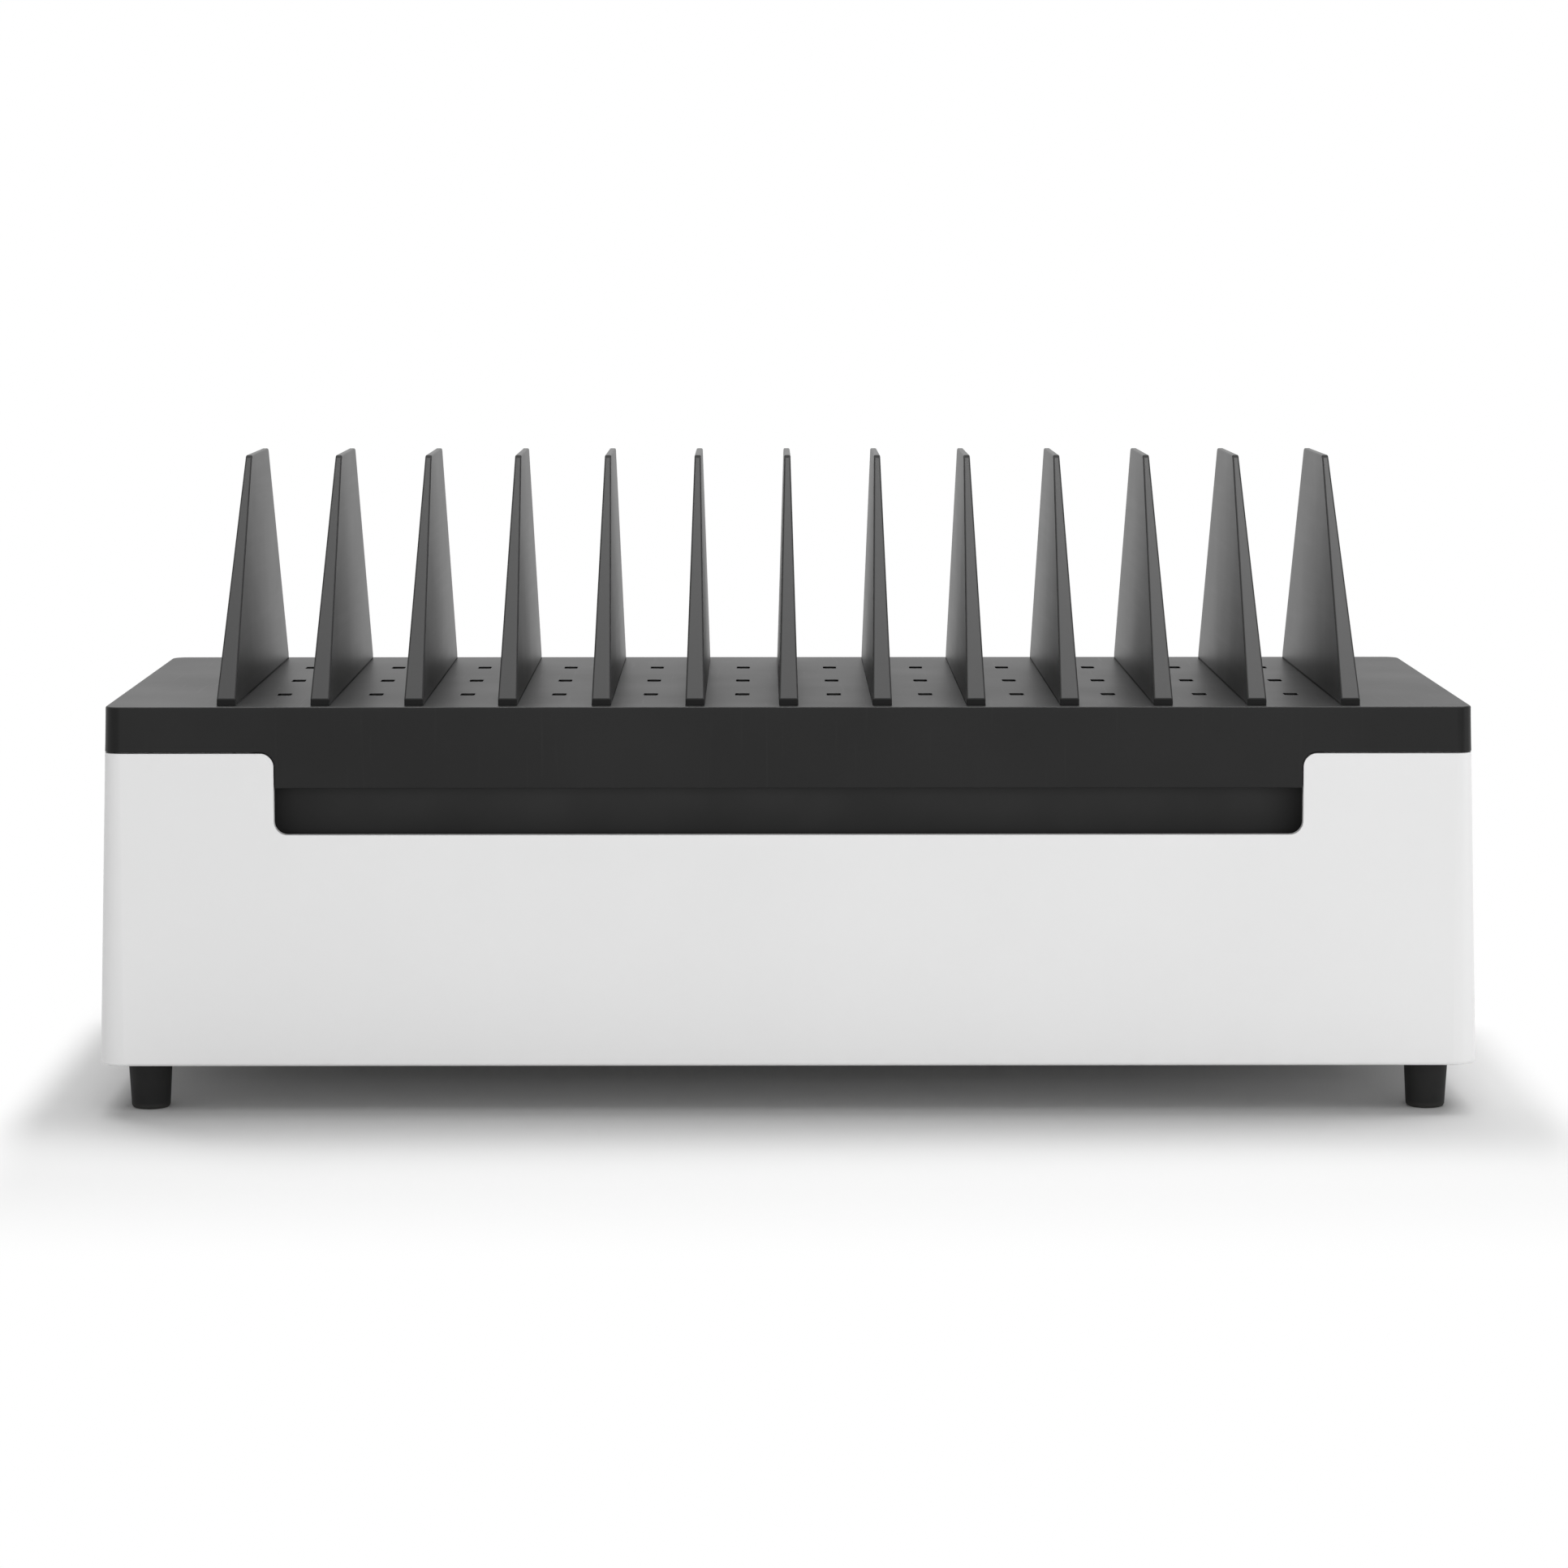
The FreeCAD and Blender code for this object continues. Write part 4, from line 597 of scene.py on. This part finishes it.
# Bluish grey with yellowish clouds from the plating bath
zinc = worked_metal(
    "zinc_plated_steel", "#C8CACC", "#B9B8B0", roughness=0.26, dull_roughness=0.38,
    grain_mm=(2.5, 2.5, 2.5), dent_mm=0.004, edge_mm=0.2)
# Dark and satin, so only the rims of the heads catch light
blackened = worked_metal(
    "blackened_steel", "#38383A", "#2A2A2B", roughness=0.34, dull_roughness=0.46,
    grain_mm=(2.0, 2.0, 2.0), dent_mm=0.004, edge_mm=0.2)
for metal in (zinc, blackened):
    tree = metal.node_tree
    # Painted shade: darker where little open sky is seen, in the recesses
    sky = add(tree, "ShaderNodeAmbientOcclusion", {"Distance": RECESS_REACH * MM}, samples=8).outputs["AO"]
    painted_recess_shade = add(tree, "ShaderNodeMapRange", {"Value": sky, "From Min": 0.75, "From Max": 0.35})
    lay_over(metal, painted_recess_shade.outputs["Result"], "#1E1D1B", 0.6)

# %% [markdown]
# ## Circuit boards
# A board is glass-filled resin under a green lacquer. Copper tracks lie below the lacquer and show
# as paler lines, and the plated holes show as small bright dots. The tracks are two sets of bands, one
# along the board and one across, and a coarse noise decides which set runs where. The dots are the centres
# of a cell pattern. Real tracks are 0.3 mm wide; here they are 0.5 mm so that they show.

# %% Green lacquer
TRACK_PITCH = 1.6
HOLE_PITCH = 5.0
TRACK_PATCH = 14.0

# A clear gloss over two greens: bare resin and the tracks below the lacquer
lacquer = moulded_plastic(
    "green_lacquered_board", "#0F4F2C", "#125834", roughness=0.30, rubbed_roughness=0.24, specular=0.5,
    grain_mm=0.8, dent_mm=0.006, cloud_mm=10, edge_mm=0.1)
tree = lacquer.node_tree
place = add(tree, "ShaderNodeTexCoord").outputs["Object"]
turns = math.pi / (10 * TRACK_PITCH * MM)
bands = [add(tree, "ShaderNodeTexWave", {"Vector": place, "Scale": turns}, bands_direction=way)
         for way in "XY"]
choice = add(tree, "ShaderNodeTexNoise", {"Vector": place, "Scale": 1 / (TRACK_PATCH * MM), "Detail": 0.0})
choice = add(tree, "ShaderNodeMath", {0: choice.outputs["Fac"], 1: 0.5}, operation="GREATER_THAN").outputs[0]
track = add(tree, "ShaderNodeMix", {"Factor": choice, "A": bands[0].outputs["Fac"],
                                    "B": bands[1].outputs["Fac"]}, data_type="FLOAT").outputs["Result"]
track = add(tree, "ShaderNodeMapRange", {"Value": track, "From Min": 0.70, "From Max": 0.80})
lay_over(lacquer, track.outputs["Result"], "#1F7A48", 0.26)
cell = add(tree, "ShaderNodeTexVoronoi", {"Vector": place, "Scale": 1 / (HOLE_PITCH * MM)})
hole = add(tree, "ShaderNodeMapRange", {"Value": cell.outputs["Distance"], "From Min": 0.10,
                                        "From Max": 0.08})
lay_over(lacquer, hole.outputs["Result"], "#C9B27A", 0.3)
dress(lacquer, "usb_board", "supply_board")

# %% [markdown]
# ## Tape, sleeves and wires
# The transformer is wound with yellow polyester tape, whose turns show as thin darker lines. The two
# capacitors wear a shrunk dark sleeve. The wires are extruded PVC: smooth, a little waxy, and dented slightly
# along their length by the die.

# %% Tape, sleeve and insulation
TAPE_WIDTH = 7.0

# Glossy yellow film with a dull brown line at each lap
tape = moulded_plastic(
    "yellow_polyester_tape", "#D9B23A", "#E2BE4C", roughness=0.28, rubbed_roughness=0.22, specular=0.5,
    grain_mm=2.0, dent_mm=0.010, cloud_mm=9, edge_mm=0.3)
tree = tape.node_tree
place = add(tree, "ShaderNodeTexCoord").outputs["Object"]
turns = math.pi / (10 * TAPE_WIDTH * MM)
lap = add(tree, "ShaderNodeTexWave", {"Vector": place, "Scale": turns}, bands_direction="Z",
          wave_profile="SAW")
lap = add(tree, "ShaderNodeMapRange", {"Value": lap.outputs["Fac"], "From Min": 0.90, "From Max": 0.97})
lay_over(tape, lap.outputs["Result"], "#A07C1E", 0.4)
dress(tape, "supply_transformer")

# Dark blue and shiny, stretched smooth over the can
sleeve = moulded_plastic(
    "shrunk_pvc_sleeve", "#16182A", "#20233A", roughness=0.26, rubbed_roughness=0.20, specular=0.5,
    grain_mm=1.2, dent_mm=0.012, cloud_mm=7, edge_mm=0.4)
dress(sleeve, "supply_capacitors")

# Strong plain colours under a soft waxy highlight
WIRES = {
    "neutral_wire": ("blue_pvc_insulation", "#2A55A0", "#3563B2"),
    "earth_wire": ("green_pvc_insulation", "#3E8F3A", "#4C9E46"),
    "live_in_wire": ("brown_pvc_insulation", "#5B3A22", "#69452B"),
    "charge_negative_wire": ("black_pvc_insulation", "#181818", "#212121"),
    "charge_positive_wire": ("red_pvc_insulation", "#A8231E", "#B6302A"),
}
for wire, (name, base, rubbed) in WIRES.items():
    insulation = moulded_plastic(name, base, rubbed, roughness=0.36, rubbed_roughness=0.28, specular=0.5,
                                 grain_mm=1.5, dent_mm=0.010, cloud_mm=6, edge_mm=0.2)
    dress(insulation, wire)
dress(bpy.data.materials["brown_pvc_insulation"], "live_out_wire")

# %% [markdown]
# ## Making pieces
# New pieces are modelled in millimetres, as a maker would measure them, and scaled to metres at the end.
# Each rides on a body of the frame, so that it moves with the joint. Faces that meet at less than
# SMOOTH_BELOW degrees are shaded as one smooth surface, and sharper corners stay sharp.

# %% Piece helper
SMOOTH_BELOW = 35


def new_piece(name, build, material, body):
    """Close a bmesh drawn in millimetres and make it a piece that rides on a body."""
    bmesh.ops.scale(build, vec=(MM, MM, MM), verts=build.verts)
    mesh = bpy.data.meshes.new(name)
    build.to_mesh(mesh)
    build.free()
    mesh.materials.append(material)
    mesh.shade_smooth()
    mesh.set_sharp_from_angle(angle=math.radians(SMOOTH_BELOW))
    item = bpy.data.objects.new(name, mesh)
    scene.collection.objects.link(item)
    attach(item, body)
    print(name, len(mesh.polygons), "faces on", body)
    return item


print("pieces are drawn in mm and scaled by", MM)

# %% [markdown]
# ## Finding the solids of a node
# One node of the frame may hold many like solids, such as all the screws of a kind. To find where each one
# sits, a copy of the mesh is merged and walked from vertex to vertex until nothing more hangs together; the
# box round each group gives the place and the size of one solid.

# %% Find solids
MERGE = 0.001


def solids_of(name):
    """Lowest and highest corners, in millimetres, of each separate solid in a node."""
    build = bmesh.new()
    build.from_mesh(nodes[name].data)
    bmesh.ops.remove_doubles(build, verts=build.verts, dist=MERGE * MM)
    boxes = []
    waiting = set(build.verts)
    while waiting:
        front = [waiting.pop()]
        points = []
        while front:
            vertex = front.pop()
            points.append(vertex.co / MM)
            near = {edge.other_vert(vertex) for edge in vertex.link_edges} & waiting
            waiting -= near
            front.extend(near)
        low = Vector([min(point[axis] for point in points) for axis in range(3)])
        high = Vector([max(point[axis] for point in points) for axis in range(3)])
        boxes.append((low, high))
    build.free()
    return sorted(boxes, key=lambda box: tuple(box[0]))


print("tongues in the ports:", len(solids_of("usb_tongues")))

# %% [markdown]
# ## Stamps and rounded blocks
# A small shape that is repeated is made once and stamped into one larger mesh, each time under its own
# matrix. That keeps like parts in one piece. Most small parts are blocks, and a block with bevelled
# edges catches the light as a moulded or cut one does.

# %% Stamp and block
def stamp(build, unit, matrix):
    """Add a moved copy of a small mesh to a larger one."""
    before = len(build.verts)
    build.from_mesh(unit)
    build.verts.ensure_lookup_table()
    bmesh.ops.transform(build, matrix=matrix, verts=build.verts[before:])


def block(build, low, high, round_mm):
    """A box between two corners with its edges rounded."""
    middle = (Vector(low) + Vector(high)) / 2
    sides = Matrix.Diagonal(Vector(high) - Vector(low)).to_4x4()
    made = bmesh.ops.create_cube(build, size=1.0, matrix=Matrix.Translation(middle) @ sides)
    edges = list({edge for vertex in made["verts"] for edge in vertex.link_edges})
    bmesh.ops.bevel(build, geom=edges, offset=round_mm, offset_type="OFFSET", segments=2, profile=0.5,
                    affect="EDGES", material=-1)


print("stamp and block ready")

# %% [markdown]
# ## A pressed cross
# A cross for the driver is punched into a screw head, and a shallow one is scored into the top of a large
# capacitor. Four cuts each way across the flat top mark the cross out. The faces inside it are extruded
# downwards and drawn together a little, as a punch leaves them.

# %% Press a cross
TOUCH = 1e-4


def press_cross(build, level, width, length, depth, draw_in):
    """Press a cross into the flat top of a shape whose top lies at a level."""
    for axis in (Vector((1, 0, 0)), Vector((0, 1, 0))):
        for reach in (-length / 2, -width / 2, width / 2, length / 2):
            top = [face for face in build.faces if abs(face.calc_center_median().z - level) < TOUCH]
            geometry = top + list({edge for face in top for edge in face.edges})
            geometry += list({vertex for face in top for vertex in face.verts})
            bmesh.ops.bisect_plane(build, geom=geometry, plane_co=axis * reach, plane_no=axis)
    inside = []
    for face in build.faces:
        middle = face.calc_center_median()
        if abs(middle.z - level) < TOUCH:
            short, long = sorted((abs(middle.x), abs(middle.y)))
            if short < width / 2 and long < length / 2:
                inside.append(face)
    pushed = bmesh.ops.extrude_face_region(build, geom=inside)["geom"]
    bmesh.ops.delete(build, geom=inside, context="FACES")
    bottom = [item for item in pushed if isinstance(item, bmesh.types.BMVert)]
    bmesh.ops.translate(build, vec=(0, 0, -depth), verts=bottom)
    bmesh.ops.scale(build, vec=(draw_in, draw_in, 1), verts=bottom)


print("a top is found within", TOUCH, "mm")

# %% [markdown]
# ## Screws
# The frame has plain stepped cylinders for screws. A real pan head has a domed rim and a tapered cross. The
# head here is a short cylinder with its upper rim bevelled, and the cross pressed into what is left of its
# flat top. The shank narrows towards its tip. Its thread is left out, because the plastic round it hides
# it.

# %% Screw shape
HEAD_RADIUS = 2.75
HEAD_HEIGHT = 2.0
HEAD_DOME = 0.75
SHANK_RADIUS = 1.25
TIP_SHARE = 0.7
CROSS_WIDTH = 0.9
CROSS_LENGTH = 3.2
CROSS_DEPTH = 1.3
CROSS_DRAW_IN = 0.6


def pan_head_screw(shank_length):
    """A screw that stands on its tip, with the seat of its head at the origin."""
    build = bmesh.new()
    bmesh.ops.create_cone(build, cap_ends=True, segments=32, radius1=HEAD_RADIUS, radius2=HEAD_RADIUS,
                          depth=HEAD_HEIGHT, matrix=Matrix.Translation((0, 0, HEAD_HEIGHT / 2)))
    rim = [edge for edge in build.edges if all(vertex.co.z > HEAD_HEIGHT - TOUCH for vertex in edge.verts)]
    bmesh.ops.bevel(build, geom=rim, offset=HEAD_DOME, offset_type="OFFSET", segments=4, profile=0.5,
                    affect="EDGES", material=-1)
    press_cross(build, HEAD_HEIGHT, CROSS_WIDTH, CROSS_LENGTH, CROSS_DEPTH, CROSS_DRAW_IN)
    bmesh.ops.create_cone(build, cap_ends=True, segments=16, radius1=TIP_SHARE * SHANK_RADIUS,
                          radius2=SHANK_RADIUS, depth=shank_length,
                          matrix=Matrix.Translation((0, 0, -shank_length / 2)))
    unit = bpy.data.meshes.new("screw_unit")
    build.to_mesh(unit)
    build.free()
    return unit


print("a cross", CROSS_LENGTH, "mm long in a head", 2 * HEAD_RADIUS, "mm wide")

# %% [markdown]
# ## Setting the screws
# Each plain screw of the frame gets a finished one in its place, with the length that its own box gives. A
# screw's head looks up, down or to the rear. Each is turned by its own angle, because nobody lines screws
# up; the seed makes the angles the same in every run.

# %% Set the screws
SCREW_SEED = 7
FACING = {
    "up": Matrix.Identity(4),
    "down": Matrix.Rotation(math.pi, 4, "X"),
    "rear": Matrix.Rotation(-math.pi / 2, 4, "X"),
}
SCREWS = {
    "divider_screws": ("lid", "down", blackened),
    "foot_screws": ("base", "down", zinc),
    "post_screws": ("base", "up", blackened),
    "supply_screws": ("base", "down", zinc),
    "inlet_screws": ("base", "rear", zinc),
}
turn = random.Random(SCREW_SEED)
for node, (body, way, material) in SCREWS.items():
    build = bmesh.new()
    axis = 1 if way == "rear" else 2
    for low, high in solids_of(node):
        unit = pan_head_screw(high[axis] - low[axis] - HEAD_HEIGHT)
        seat = (low + high) / 2
        seat[axis] = low[axis] + HEAD_HEIGHT if way == "down" else high[axis] - HEAD_HEIGHT
        spin = Matrix.Rotation(turn.uniform(0, math.pi / 2), 4, "Z")
        stamp(build, unit, Matrix.Translation(seat) @ FACING[way] @ spin)
        bpy.data.meshes.remove(unit)
    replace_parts(new_piece(node + "_cross_head", build, material, body), node)

# %% [markdown]
# ## Port tongues
# Inside each port a tongue of black plastic carries four flat contacts. The contacts lie on its lower
# face, and their rounded tips reach almost to the front of the tongue. The plain solids in the frame are
# replaced by tongues with rounded noses, and the contacts are a second piece in gold.

# %% Tongues and contacts
CONTACT_PLACES = (-3.5, -1.0, 1.0, 3.5)
CONTACT_WIDTH = 1.0
CONTACT_HEIGHT = 0.15
CONTACT_SETBACK = 0.6
CONTACT_ROUND = 0.06
TONGUE_ROUND = 0.35

tongues = bmesh.new()
contacts = bmesh.new()
for low, high in solids_of("usb_tongues"):
    block(tongues, low, high, TONGUE_ROUND)
    for shift in CONTACT_PLACES:
        middle = (low.x + high.x) / 2 + shift
        block(contacts, (middle - CONTACT_WIDTH / 2, low.y + CONTACT_SETBACK, low.z - CONTACT_HEIGHT),
              (middle + CONTACT_WIDTH / 2, high.y, low.z + CONTACT_HEIGHT), CONTACT_ROUND)
tongue_blades = new_piece("port_tongue_blades", tongues, tongue_plastic, "base")
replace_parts(tongue_blades, "usb_tongues")
new_piece("port_contacts", contacts, gold, "base")

# %% [markdown]
# ## Inlet blades
# The three blades of the inlet are stamped from brass strip. Their edges and ends are rounded, so that the
# connector slides on without catching. The plain bars in the frame give way to bars with rounded edges.

# %% Rounded blades
BLADE_ROUND = 0.5

blades = bmesh.new()
for low, high in solids_of("inlet_blades"):
    block(blades, low, high, BLADE_ROUND)
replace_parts(new_piece("rounded_inlet_blades", blades, brass, "base"), "inlet_blades")

# %% [markdown]
# ## Marks on the rocker
# A mains rocker carries a bar for on and a ring for off, printed in white on its two faces. The faces lie at
# an angle, so the marks are drawn flat and then turned onto them: the solid's own faces tell where
# each half of the rocker lies and which way it looks. Faces under FACE_AREA are its rounded edges.

# %% Find the two halves of the rocker
FACE_AREA = 10 * MM * MM

# Flat off-white film, duller than the polished rocker under it
ink = moulded_plastic(
    "white_pad_print", "#E4E4E0", "#D8D8D4", roughness=0.5, rubbed_roughness=0.4, specular=0.5,
    grain_mm=0.3, dent_mm=0.004, cloud_mm=2, edge_mm=0.05)
copy = bmesh.new()
copy.from_mesh(nodes["power_rocker"].data)
middle_z = sum(corner.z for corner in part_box("power_rocker")) / 2
halves = {}
for half, sign in (("upper", 1), ("lower", -1)):
    faces = [face for face in copy.faces if face.normal.y > 0.9 and face.calc_area() > FACE_AREA
             and (face.calc_center_median().z - middle_z) * sign > 0]
    area = sum(face.calc_area() for face in faces)
    centre = sum((face.calc_center_median() * face.calc_area() for face in faces), Vector()) / area
    normal = sum((face.normal * face.calc_area() for face in faces), Vector()).normalized()
    halves[half] = (centre / MM, normal)
    print(half, "half at", [round(value, 1) for value in halves[half][0]], "mm")
copy.free()

# %% [markdown]
# ## Bar and ring
# The print is a thin raised film. The bar is a flat rounded block. The ring is a filled circle, inset by the
# width of its stroke; what is left inside is deleted, and the rim is raised by the height of the film. A
# hair of air under the film keeps the two surfaces from flickering into each other.

# %% Print the marks
MARK_SIZE = 3.2
MARK_STROKE = 0.6
MARK_ROUND = 0.02
FILM = 0.05
FILM_GAP = 0.01

bar = bmesh.new()
block(bar, (-MARK_STROKE / 2, -MARK_SIZE / 2, 0), (MARK_STROKE / 2, MARK_SIZE / 2, FILM), MARK_ROUND)
ring = bmesh.new()
bmesh.ops.create_circle(ring, cap_ends=True, segments=40, radius=MARK_SIZE / 2)
rim = bmesh.ops.inset_region(ring, faces=ring.faces[:], thickness=MARK_STROKE, use_even_offset=True,
                             use_boundary=True)["faces"]
bmesh.ops.delete(ring, geom=[face for face in ring.faces if face not in rim], context="FACES")
raised = bmesh.ops.extrude_face_region(ring, geom=ring.faces[:])["geom"]
raised = [item for item in raised if isinstance(item, bmesh.types.BMVert)]
bmesh.ops.translate(ring, vec=(0, 0, FILM), verts=raised)
bmesh.ops.recalc_face_normals(ring, faces=ring.faces)
for name, build, half in (("rocker_bar_mark", bar, "upper"), ("rocker_ring_mark", ring, "lower")):
    centre, normal = halves[half]
    side = Vector((-1, 0, 0))
    lie = Matrix((side, normal.cross(side), normal)).transposed().to_4x4()
    bmesh.ops.transform(build, matrix=Matrix.Translation(centre + normal * FILM_GAP) @ lie, verts=build.verts)
    new_piece(name, build, ink, "rocker")

# %% [markdown]
# ## Parts on the port board
# Behind each port sits the small chip that agrees on the charging current, with two ceramic capacitors
# beside it. A chip is cast in black resin filled with sand, a capacitor is fired like a tile. Both are dull
# and even, so the plastic recipe does for them with a fine grain and a small cloud.

# %% Materials of the small parts
# Dull near-black with a fine sandy skin
chip_resin = moulded_plastic(
    "moulded_chip_resin", "#1C1C1D", "#262627", roughness=0.55, rubbed_roughness=0.48, specular=0.4,
    grain_mm=0.3, dent_mm=0.006, cloud_mm=3, edge_mm=0.1)
# Plain brown, as fired, with rounded corners
ceramic = moulded_plastic(
    "fired_brown_ceramic", "#8A6E4E", "#957A5A", roughness=0.5, rubbed_roughness=0.44, specular=0.5,
    grain_mm=0.3, dent_mm=0.004, cloud_mm=1, edge_mm=0.05)

# %% [markdown]
# ## Chips and capacitors
# The chip is a rounded black block on eight tinned legs, the capacitors are brown blocks with tinned ends.
# They are all made from the same rounded block and sorted into three pieces by material. The ends stand a
# hair proud of the ceramic, and the legs start inside the resin, so no gap shows between them.

# %% Place chips and capacitors
CHIP_SIZE = Vector((5.0, 4.0, 1.5))
CHIP_LIFT = 0.15
CHIP_SHIFT = -3.0
CHIP_BACK = 4.6
CHIP_ROUND = 0.15
LEG_PITCH = 1.27
LEG_WIDTH = 0.4
LEG_REACH = 0.9
LEG_HEIGHT = 0.5
LEG_ROOT = 0.1
LEG_ROUND = 0.06
CAPACITOR_SIZE = Vector((2.0, 1.25, 0.9))
CAPACITOR_SHIFTS = (-5.0, -1.4)
CAPACITOR_BACK = 9.4
CERAMIC_ROUND = 0.05
END_LENGTH = 0.4
END_LIP = 0.03
END_ROUND = 0.08

board_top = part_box("usb_board")[1].z / MM
chips, legs, bodies = bmesh.new(), bmesh.new(), bmesh.new()
for name in ports:
    port_x = sum(corner.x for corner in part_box(name)) / 2 / MM
    chip = Vector((port_x + CHIP_SHIFT, CHIP_BACK, board_top + CHIP_LIFT))
    corner = chip - Vector((CHIP_SIZE.x / 2, CHIP_SIZE.y / 2, 0))
    block(chips, corner, corner + CHIP_SIZE, CHIP_ROUND)
    for count in range(4):
        leg_x = chip.x + (count - 1.5) * LEG_PITCH
        for side in (-1, 1):
            root = chip.y + side * (CHIP_SIZE.y / 2 - LEG_ROOT)
            near, far = sorted((root, root + side * (LEG_REACH + LEG_ROOT)))
            block(legs, (leg_x - LEG_WIDTH / 2, near, board_top),
                  (leg_x + LEG_WIDTH / 2, far, board_top + LEG_HEIGHT), LEG_ROUND)
    for shift in CAPACITOR_SHIFTS:
        corner = Vector((port_x + shift - CAPACITOR_SIZE.x / 2, CAPACITOR_BACK, board_top))
        inset = Vector((END_LENGTH, END_LIP, END_LIP))
        block(bodies, corner + inset, corner + CAPACITOR_SIZE - inset, CERAMIC_ROUND)
        for start in (0.0, CAPACITOR_SIZE.x - END_LENGTH):
            end = corner + Vector((start, 0, 0))
            block(legs, end, end + Vector((END_LENGTH, CAPACITOR_SIZE.y, CAPACITOR_SIZE.z)), END_ROUND)
new_piece("charge_chips", chips, chip_resin, "base")
new_piece("chip_legs_and_part_ends", legs, tin, "base")
new_piece("ceramic_capacitors", bodies, ceramic, "base")

# %% [markdown]
# ## Capacitor tops
# The top of a large capacitor is a bare aluminium disc with a cross scored into it, which lets go first if
# the pressure rises. It is a low cylinder with a bevelled rim, and the same press that made the screw
# crosses scores it.

# %% Scored tops
TOP_HEIGHT = 0.5
TOP_SETBACK = 0.7
TOP_ROUND = 0.3
SCORE_WIDTH = 0.5
SCORE_DEPTH = 0.25
SCORE_REACH = 1.3
SCORE_DRAW_IN = 0.98

tops = bmesh.new()
for low, high in solids_of("supply_capacitors"):
    radius = (high.x - low.x) / 2 - TOP_SETBACK
    build = bmesh.new()
    bmesh.ops.create_cone(build, cap_ends=True, segments=40, radius1=radius, radius2=radius, depth=TOP_HEIGHT,
                          matrix=Matrix.Translation((0, 0, TOP_HEIGHT / 2)))
    rim = [edge for edge in build.edges if all(vertex.co.z > TOP_HEIGHT - TOUCH for vertex in edge.verts)]
    bmesh.ops.bevel(build, geom=rim, offset=TOP_ROUND, offset_type="OFFSET", segments=3, profile=0.5,
                    affect="EDGES", material=-1)
    press_cross(build, TOP_HEIGHT, SCORE_WIDTH, SCORE_REACH * radius, SCORE_DEPTH, SCORE_DRAW_IN)
    unit = bpy.data.meshes.new("capacitor_top_unit")
    build.to_mesh(unit)
    build.free()
    stamp(tops, unit, Matrix.Translation(((low.x + high.x) / 2, (low.y + high.y) / 2, high.z)))
    bpy.data.meshes.remove(unit)
new_piece("capacitor_tops", tops, folded, "base")
